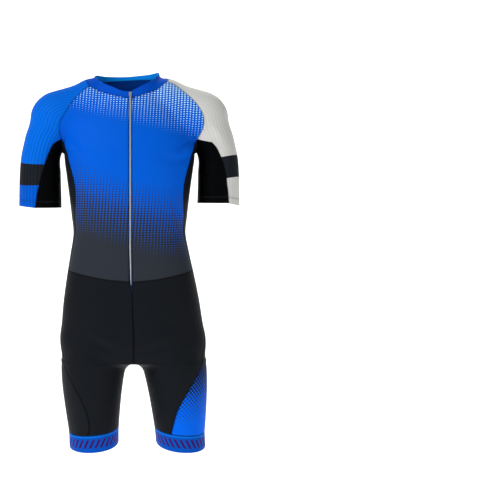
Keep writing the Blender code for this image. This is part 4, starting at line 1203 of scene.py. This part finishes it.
# Levels of the dark band on each sleeve at its front, outside and back.
bandLevels = {
    "left": {"top": (-200, -194, -211), "bottom": (-254, -249, -266)},
    "right": {"top": (-217, -208, -200), "bottom": (-268, -264, -252)},
}


def bandMarks(points, side, hand):
    marks = {}
    turn = np.arctan2(side * points[:, 0] - 222, -points[:, 1])
    for edge, label in (("top", "bandTop"), ("bottom", "bandBottom")):
        front, outside, back = bandLevels[hand][edge]
        middle = 0.5 * (front + back)
        level = middle + (outside - middle) * np.sin(turn) + 0.5 * (front - back) * np.cos(turn)
        marks[label] = (points[:, 2] - level) * mm
    return marks


zipGap = {"clear": 0.15, "columns": 6, "power": 1.5}


def besideZip(grid, column, side):  # one edge of a panel drawn back to the zip's side
    grid = grid.copy()
    taper = np.clip((grid[:, column, 2] - frontZip["end"]) / frontZip["taper"], 0, 1)
    back = zipGap["clear"] + (frontZip["halfWidth"] + zipGap["clear"]) * taper
    for step in range(zipGap["columns"]):
        share = (1 - step / zipGap["columns"]) ** zipGap["power"]
        grid[:, step if column == 0 else -1 - step, 0] += side * back * share
    return grid


fine = {}
print("panels")
for lines, hand in ((left, "left"), (right, "right")):
    side = lines["side"]
    f = {key: finer(line) for key, line in lines.items() if key != "side"}
    front = refined(
        frontGrid(lines), f["centreFront"], np.concatenate([f["raglanFront"], f["sideFront"][1:]]),
        f["neckFront"], f["waist"],
    )
    shorts = shortsGrid(lines)
    gripRow = finer(shorts[-1])
    f["gripFront"] = gripRow
    shorts = refined(
        shorts, np.concatenate([f["centreShorts"], f["inseam"][1:]]), f["legFront"], f["waist"], gripRow
    )
    sides = sideGrid(lines)
    f["gripSide"] = finer(sides[-1])
    sides = refined(
        sides, np.concatenate([f["sideFront"], f["legFront"][1:]]), f["sideBack"], f["pit"], f["gripSide"]
    )
    yokeRow = spine[-1][cells["back"] // 2:] if side > 0 else spine[-1][: cells["back"] // 2 + 1][::-1]
    f["yoke"] = finer(yokeRow)
    seat = seatGrid(lines, yokeRow)
    f["centreSeat"] = finer(lines["centreSeat"])
    f["gripSeat"] = finer(seat[-1])
    lower = f["sideBack"][(cells["backSide"] + cells["lowerBack"]) * cells["fine"]:]
    seat = refined(seat, np.concatenate([f["centreSeat"], f["inseam"][1:]]), lower, f["yoke"], f["gripSeat"])
    sleeve = sleeveGrid(lines)
    f["sleeveTop"] = finer(sleeve[0])
    f["sleeveHem"] = finer(sleeve[-1])
    sleeve = refined(
        sleeve, np.concatenate([f["raglanFront"], f["sleeveFront"][1:]]),
        np.concatenate([f["raglanBack"], f["sleeveBack"][1:]]), f["sleeveTop"], f["sleeveHem"],
    )
    under = underSleeveGrid(lines)
    f["underHem"] = finer(under[-1])
    under = refined(under, f["sleeveFront"], f["sleeveBack"], f["pit"], f["underHem"])
    fine[hand] = f
    front = besideZip(front, 0, side)
    shorts = besideZip(shorts, 0, side)
    lines["grids"] = {
        "front": front, "shorts": shorts, "side": sides, "seat": seat,
        "sleeve": sleeve, "under_sleeve": under,
    }


def flatPoints(grid):
    return grid.reshape(-1, 3)


def hemReach(grid):  # how far above its last row each point is
    return lengths(grid[::-1])[::-1].reshape(-1)


# The panels of one side; a finish that ends in _ has one for each hand.
panels = {
    "columns": ("panel", "finish", "node", "restsOn"),
    "rows": (
        ("front", "front", "front_", "side_"),
        ("shorts", "black", "shorts_front_", "side_"),
        ("side", "side_", "side_", "front_cloth_"),
        ("seat", "black", "seat_", "side_cloth_"),
        ("sleeve", "sleeve_", "sleeve_", "front_cloth_"),
        ("under_sleeve", "deepBlack", "under_sleeve_", "sleeve_cloth_"),
    ),
}
gripWall = 1.4
gripRows = 10

print("cloth pieces")
for lines, hand in ((left, "left"), (right, "right")):
    side = lines["side"]
    for key, finish, node, restsOn in panels["rows"]:
        grid = lines["grids"][key]
        lay = layOn(flatPoints(grid), -1) if key == "front" else layPanel(grid, key == "side")
        look = {"seams": (1, 0, 1, 1), "hem": hemReach(grid)} if "sleeve" in key else {}
        if key == "sleeve":
            look["marks"] = bandMarks(flatPoints(grid), side, hand)
        finish = finish + hand if finish.endswith("_") else finish
        sewPanel(key + "_cloth_" + hand, grid, finish, lay, node + hand, [restsOn + hand], **look)
    f = fine[hand]
    top = np.concatenate([f["gripFront"][:-1], f["gripSide"][:-1], f["gripSeat"][::-1][:-1]])
    reach = top - bodyAxis(top[:, 2], side)
    turns = np.degrees(np.arctan2(side * reach[:, 0], -reach[:, 1]))
    bottom = gripPoint(gripHem, side, turns)
    shares = np.linspace(0, 1, gripRows)[:, None, None]
    grid = settled(top[None] * (1 - shares) + bottom[None] * shares)
    grid = np.concatenate([grid, grid[:, :1]], axis=1)
    along = lengths(grid[0])
    along *= gripLook["bars"] * gripLook["pitch"] / mm / along[-1]
    sewPanel(
        "gripper_band_" + hand, grid, "gripper_" + hand, (np.tile(along, len(grid)), flatPoints(grid)[:, 2]),
        "gripper_" + hand, ["shorts_cloth_" + hand], seams=(1, 0, 0, 0),
        marks={"drop": lengths(grid).reshape(-1) * mm}, wall=gripWall,
    )

edgesLeft = np.concatenate([fine["left"]["raglanBack"], fine["left"]["sideBack"][1:]])
edgesRight = np.concatenate([fine["right"]["raglanBack"], fine["right"]["sideBack"][1:]])
napeLine = finer(spine[0])
pocketSeam = finer(spine[split])
yokeSeam = finer(spine[-1])
backFine = refined(
    spine[: split + 1], edgesRight[: fineSplit + 1], edgesLeft[: fineSplit + 1], napeLine, pocketSeam
)
sewPanel(
    "back_cloth", backFine, "back", layOn(flatPoints(backFine), 1), "back",
    ["side_cloth_left", "side_cloth_right"],
)
lowerRows = (cells["backSide"] + cells["lowerBack"] + cells["raglan"]) * cells["fine"] + 1
lowerFine = refined(
    spine[split:], edgesRight[fineSplit:lowerRows], edgesLeft[fineSplit:lowerRows], pocketSeam, yokeSeam
)
sewPanel(
    "lower_back_cloth", lowerFine, "charcoal", layOn(flatPoints(lowerFine), 1), "lower_back", ["back_cloth"]
)

pocket = {
    "top": -362, "band": 11.0, "bandEdge": 1.4, "inset": 2, "proud": 1.0, "bandProud": 0.7, "wall": 0.9,
}
middleHeights = backFine[:, backFine.shape[1] // 2, 2]
pocketFine = backFine[middleHeights < pocket["top"]][:, pocket["inset"]:-pocket["inset"]]
bandEnds = (pocket["band"] + pocket["bandEdge"], pocket["band"] - pocket["bandEdge"])
inBand = smoothStep(*bandEnds, lengths(pocketFine)).ravel()
sewPanel(
    "pocket_cloth", pocketFine, "back", layOn(flatPoints(pocketFine), 1), "back_pocket", ["back_cloth"],
    seams=(0, 1, 1, 1), proud=pocket["proud"] + pocket["bandProud"] * inBand, wall=pocket["wall"],
)

collarBottom = np.concatenate([
    fine["right"]["neckFront"], fine["right"]["sleeveTop"][1:], napeLine[1:],
    fine["left"]["sleeveTop"][::-1][1:], fine["left"]["neckFront"][::-1][1:],
])
reach = collarBottom - np.array([collarCut["centre"], 0.0, 0.0])
turns = np.degrees(np.unwrap(np.arctan2(-reach[:, 0], -reach[:, 1])))
wrapped = (-turns + 180) % 360 - 180
heights = smoothTable(collarCut["topTurns"], collarCut["topHeights"], wrapped)
collarTop = neckPoint(-turns, heights)
shares = np.linspace(0, 1, collarCut["rows"])[:, None, None]
collarFine = settled(collarBottom[None] * (1 - shares) + collarTop[None] * shares)
collarFine = besideZip(collarFine, 0, -1)
collarFine = besideZip(collarFine, -1, 1)
sewPanel(
    "collar_band", collarFine, "collar",
    (np.tile(turns * collarCut["perTurn"], collarCut["rows"]), flatPoints(collarFine)[:, 2]),
    "collar", ["back_cloth"], seams=(1, 0, 0, 0), wall=collarCut["wall"],
    marks={"drop": hemReach(collarFine) * mm},
)

tape = {"proud": 0.45, "wall": 1.0, "points": 200, "columns": 7, "least": 0.1}
print("zip")
heights = np.linspace(frontZip["top"], frontZip["end"], tape["points"])
middle = middleLine(heights, True, frontZip["centre"])
half = np.clip((heights - frontZip["end"]) / (frontZip["taper"] + 5), tape["least"], 1)
half *= frontZip["halfWidth"]
shares = np.linspace(-1, 1, tape["columns"])
zipGrid = settled(middle[:, None] + shares[None, :, None] * half[:, None, None] * np.array([1.0, 0, 0]))
piece = clothShell(
    "zip_tape", zipGrid, materials["tape"], (flatPoints(zipGrid)[:, 0], flatPoints(zipGrid)[:, 2]),
    (0, 0, 0, 0), proud=tape["proud"], wall=tape["wall"],
)
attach(piece, "suit")
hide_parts("zip_strip")
for node in ("zip_slider", "zip_pull"):
    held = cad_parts[node]
    held.data.materials.clear()
    held.data.materials.append(materials["metal"])

print("stitches and teeth")


def repeatTree(name, shape):
    # small shapes along a line: every second one leans or shifts to the other side
    tree = bpy.data.node_groups.new(name, "GeometryNodeTree")
    for label, kind in (
        ("Geometry", "Geometry"), ("Pitch", "Float"), ("Size", "Vector"), ("Lean", "Float"),
        ("Shift", "Float"), ("Finish", "Material"),
    ):
        tree.interface.new_socket(label, in_out="INPUT", socket_type="NodeSocket" + kind)
    tree.interface.new_socket("Geometry", in_out="OUTPUT", socket_type="NodeSocketGeometry")
    given = tree.nodes.new("NodeGroupInput").outputs
    line = nodeIn(tree, "GeometryNodeMeshToCurve", Mesh=given["Geometry"])
    even = tree.nodes.new("GeometryNodeResampleCurve")
    even.mode = "LENGTH"
    feed(tree, even.inputs["Curve"], line.outputs["Curve"])
    feed(tree, even.inputs["Length"], given["Pitch"])
    if shape == "stitch":
        small = nodeIn(tree, "GeometryNodeMeshUVSphere", Segments=6, Rings=3, Radius=0.5)
    else:
        small = nodeIn(tree, "GeometryNodeMeshCube")
    sized = nodeIn(tree, "GeometryNodeTransform", Geometry=small.outputs["Mesh"], Scale=given["Size"])
    held = tree.nodes.new("GeometryNodeInputNamedAttribute")
    held.data_type = "FLOAT_VECTOR"
    held.inputs["Name"].default_value = "clothNormal"
    normal = held.outputs["Attribute"]
    tangent = tree.nodes.new("GeometryNodeInputTangent").outputs["Tangent"]
    axes = nodeIn(tree, "FunctionNodeAxesToRotation", Primary_Axis=normal, Secondary_Axis=tangent)
    axes.primary_axis, axes.secondary_axis = "Z", "X"
    index = tree.nodes.new("GeometryNodeInputIndex").outputs["Index"]
    signed = calc(tree, "MULTIPLY_ADD", calc(tree, "FLOORED_MODULO", index, 2.0), 2.0, -1.0)
    lean = calc(tree, "MULTIPLY", signed, given["Lean"])
    spin = nodeIn(tree, "FunctionNodeAxisAngleToRotation", Axis=(0, 0, 1), Angle=lean)
    facing = tree.nodes.new("FunctionNodeRotateRotation")
    facing.rotation_space = "LOCAL"
    feed(tree, facing.inputs["Rotation"], axes.outputs["Rotation"])
    feed(tree, facing.inputs["Rotate By"], spin.outputs["Rotation"])
    aside = tree.nodes.new("ShaderNodeVectorMath")
    aside.operation = "CROSS_PRODUCT"
    feed(tree, aside.inputs[0], normal)
    feed(tree, aside.inputs[1], tangent)
    away = scaled(tree, aside.outputs[0], calc(tree, "MULTIPLY", signed, given["Shift"]))
    moved = nodeIn(tree, "GeometryNodeSetPosition", Geometry=even.outputs["Curve"], Offset=away)
    many = nodeIn(
        tree, "GeometryNodeInstanceOnPoints", Points=moved.outputs["Geometry"],
        Instance=sized.outputs["Geometry"], Rotation=facing.outputs["Rotation"],
    )
    real = nodeIn(tree, "GeometryNodeRealizeInstances", Geometry=many.outputs["Instances"])
    real = real.outputs["Geometry"]
    ready = nodeIn(tree, "GeometryNodeSetMaterial", Geometry=real, Material=given["Finish"])
    feed(tree, tree.nodes.new("NodeGroupOutput").inputs[0], ready.outputs["Geometry"])
    return tree


stitchShape = repeatTree("stitchesAlong", "stitch")
toothShape = repeatTree("teethAlong", "tooth")


def onCloth(line, lift, aside=0.0):  # a seam's points on the outside of the cloth, with its normals
    line = np.asarray(line, float)
    normals = outward(line)
    ahead = unit(np.gradient(line, axis=0))
    placedLine = settled(line + np.cross(normals, ahead) * aside, 2)
    return placedLine + outward(placedLine) * (foldHeight(placedLine) + lift)[:, None], normals


def repeated(name, tree, lines, finish, pitch, size, lean=0.0, shift=0.0):
    points = np.concatenate([line for line, _ in lines]) * mm
    normals = np.concatenate([normal for _, normal in lines])
    edges = []
    start = 0
    for line, _ in lines:
        edges += [(at, at + 1) for at in range(start, start + len(line) - 1)]
        start += len(line)
    data = bpy.data.meshes.new(name)
    data.from_pydata(points.tolist(), edges, [])
    held = data.attributes.new("clothNormal", "FLOAT_VECTOR", "POINT")
    held.data.foreach_set("vector", normals.ravel())
    piece = newObject(name, data)
    modifier = piece.modifiers.new("repeat", "NODES")
    modifier.node_group = tree
    values = {
        "Pitch": pitch * mm, "Size": [side * mm for side in size], "Lean": lean, "Shift": shift * mm,
        "Finish": finish,
    }
    for item in tree.interface.items_tree:
        if item.in_out == "INPUT" and item.name in values:
            modifier[item.identifier] = values[item.name]
    piece.update_tag()
    bpy.context.view_layer.update()
    ready = piece.evaluated_get(bpy.context.evaluated_depsgraph_get())
    made = bpy.data.meshes.new_from_object(ready)
    piece.modifiers.clear()
    piece.data = made
    made.shade_smooth() if tree is stitchShape else made.shade_flat()
    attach(piece, "suit")
    print("made", name, len(made.polygons))
    return piece


stitch = {
    "pitch": 2.6, "run": (2.1, 0.42, 0.34), "cross": (3.3, 0.4, 0.3), "lean": 1.05,
    "rows": 1.5, "lift": -0.22, "under": 0.05,
    "hemRow": 15.0, "hemRows": 1.2, "hemLift": 0.12, "hem": (2.3, 0.9, 0.6), "pocketLift": 0.1,
}
tooth = {"pitch": 1.35, "size": (0.75, 1.5, 0.7), "shift": 0.42, "lift": 0.62, "short": 12}


def allSeams():
    found = {"blue": [], "black": [], "white": []}
    for hand in ("left", "right"):
        f = fine[hand]
        own = "white" if hand == "left" else "blue"
        found[own] += [f["raglanFront"], f["raglanBack"]]
        found["black"] += [f["sleeveFront"], f["sleeveBack"], f["pit"], f["sideFront"], f["legFront"]]
        found["black"] += [f["sideBack"], f["inseam"], f["waist"], f["yoke"]]
        found["blue"] += [f["neckFront"], f["gripFront"], f["gripSide"], f["gripSeat"]]
        found[own] += [f["sleeveTop"]]
    belowZip = fine["left"]["centreShorts"][12:]
    found["black"] += [belowZip, fine["left"]["centreSeat"], pocketSeam]
    found["blue"] += [napeLine]
    return found


slotOf = {"blue": "blue_fabric", "black": "black_fabric", "white": "white_fabric"}
finishOf = {"blue": "threadBlue", "black": "threadBlack", "white": "threadWhite"}
for colour, seams in allSeams().items():
    thread, slot = materials[finishOf[colour]], slotOf[colour]
    sides = (-stitch["rows"], stitch["rows"])
    rows = [onCloth(seam, stitch["lift"], aside) for seam in seams for aside in sides]
    repeated("seam_rows_" + colour, stitchShape, rows, thread, stitch["pitch"], stitch["run"])
    across = [onCloth(seam, stitch["lift"] - stitch["under"]) for seam in seams]
    repeated(
        "seam_threads_" + colour, stitchShape, across, thread, stitch["pitch"], stitch["cross"],
        lean=stitch["lean"],
    )


def hemRow(grid, above):  # a line across a sleeve so far above its hem
    up = hemReach(grid).reshape(grid.shape[:2])
    line = []
    for column in range(grid.shape[1]):
        row = int(np.argmin(np.abs(up[:, column] - above)))
        nearer = row + (1 if up[row, column] > above else -1)
        span = up[nearer, column] - up[row, column]
        share = (above - up[row, column]) / span if abs(span) > 1e-6 else 0
        line.append(grid[row, column] * (1 - share) + grid[nearer, column] * share)
    return np.array(line)


def sewHem(name, grid, thread):  # two rows of stitches beside a sleeve's hem fold
    sides = (-stitch["hemRows"], stitch["hemRows"])
    rows = [onCloth(hemRow(grid, stitch["hemRow"] + aside), stitch["hemLift"]) for aside in sides]
    repeated(name, stitchShape, rows, materials[thread], stitch["pitch"], stitch["hem"])


# the right sleeve's and the under sleeves' hem stitches use paler thread as a painted highlight
for lines, hand, thread, slot in (
    (left, "left", "threadWhite", "white_fabric"), (right, "right", "threadPaleHighlight", "blue_fabric"),
):
    sewHem("sleeve_hem_" + hand, lines["grids"]["sleeve"], thread)
    sewHem("under_hem_" + hand, lines["grids"]["under_sleeve"], "threadGreyHighlight")
pocketOut = pocket["proud"] + pocket["bandProud"] + stitch["pocketLift"]
# the pocket's stitches use paler thread as a painted highlight along its opening
rows = [onCloth(hemRow(pocketFine[::-1], above), pocketOut) for above in (0.8, pocket["band"] - 1.5)]
thread = materials["threadPaleHighlight"]
repeated("pocket_hem", stitchShape, rows, thread, stitch["pitch"], stitch["hem"])
toothRow = middle[:-tooth["short"]]
teethLine = (onCloth(toothRow, tooth["lift"])[0], outward(toothRow))
repeated(
    "zip_teeth", toothShape, [teethLine], materials["teeth"], tooth["pitch"], tooth["size"],
    shift=tooth["shift"],
)

print("stage, light and camera")
stageLook = {
    "floor": -1.35, "front": -4.5, "depth": 3.2, "height": 3.4, "half": 5.0, "bend": 0.9, "glow": 0.6,
}


def makeStage():
    turns = np.linspace(0, math.pi / 2, 13)
    profile = [(stageLook["front"], stageLook["floor"])]
    for turn in turns:
        profile.append((
            stageLook["depth"] - stageLook["bend"] + stageLook["bend"] * math.sin(turn),
            stageLook["floor"] + stageLook["bend"] - stageLook["bend"] * math.cos(turn),
        ))
    profile.append((stageLook["depth"], stageLook["height"]))
    mesh = bmesh.new()
    rows = [[mesh.verts.new((side * stageLook["half"], y, z)) for side in (-1, 1)] for y, z in profile]
    for first, second in zip(rows, rows[1:]):
        mesh.faces.new([first[0], first[1], second[1], second[0]])
    data = bpy.data.meshes.new("floor")
    mesh.to_mesh(data)
    mesh.free()
    data.shade_smooth()
    floor = newObject("floor", data)
    material = bpy.data.materials.new("paleFloor")
    material.use_nodes = True
    shader = material.node_tree.nodes["Principled BSDF"]
    shader.inputs["Base Color"].default_value = (0.9, 0.9, 0.9, 1)
    shader.inputs["Roughness"].default_value = 0.9
    shader.inputs["Specular IOR Level"].default_value = 0.0
    shader.inputs["Emission Color"].default_value = (1, 1, 1, 1)
    shader.inputs["Emission Strength"].default_value = stageLook["glow"]
    data.materials.append(material)


lights = {
    "key": {"at": (-2.2, -1.9, 2.0), "aim": (0, 0, -0.35), "size": 0.9, "power": 86},
    "fill": {"at": (2.2, -2.4, 0.5), "aim": (0, 0, -0.5), "size": 2.0, "power": 17},
    "back": {"at": (0.8, 2.0, 1.9), "aim": (0, 0, -0.3), "size": 1.6, "power": 30},
}
roomLight = 0.19  # the room lights the suit by this much, and shows as white


def makeLights():
    for name, look in lights.items():
        data = bpy.data.lights.new(name, "AREA")
        data.shape = "DISK"
        data.size = look["size"]
        data.energy = look["power"]
        lamp = newObject(name, data)
        lamp.location = look["at"]
        lamp.rotation_euler = (Vector(look["aim"]) - Vector(look["at"])).to_track_quat("-Z", "Y").to_euler()
    world = bpy.data.worlds.new("paleRoom")
    bpy.context.scene.world = world
    world.use_nodes = True
    tree = world.node_tree
    room = tree.nodes["Background"].inputs
    room["Color"].default_value = (1, 1, 1, 1)
    seen = tree.nodes.new("ShaderNodeLightPath").outputs["Is Camera Ray"]
    feed(tree, room["Strength"], calc(tree, "MULTIPLY_ADD", seen, 1 - roomLight, roomLight))


cameraLook = {"distance": 2.6, "height": -0.28, "lens": 74.88, "shiftX": 0.2412, "shiftY": -0.12}


def makeCamera():
    data = bpy.data.cameras.new("camera")
    data.lens = cameraLook["lens"]
    data.sensor_width = 36
    data.shift_x = cameraLook["shiftX"]
    data.shift_y = cameraLook["shiftY"]
    camera = newObject("camera", data)
    camera.location = (0, -cameraLook["distance"], cameraLook["height"])
    camera.rotation_euler = (math.radians(90), 0, 0)
    bpy.context.scene.camera = camera


makeStage()
makeLights()
makeCamera()
bpy.context.scene.view_settings.view_transform = "Standard"

for row in cuts:
    print("cut", *row)
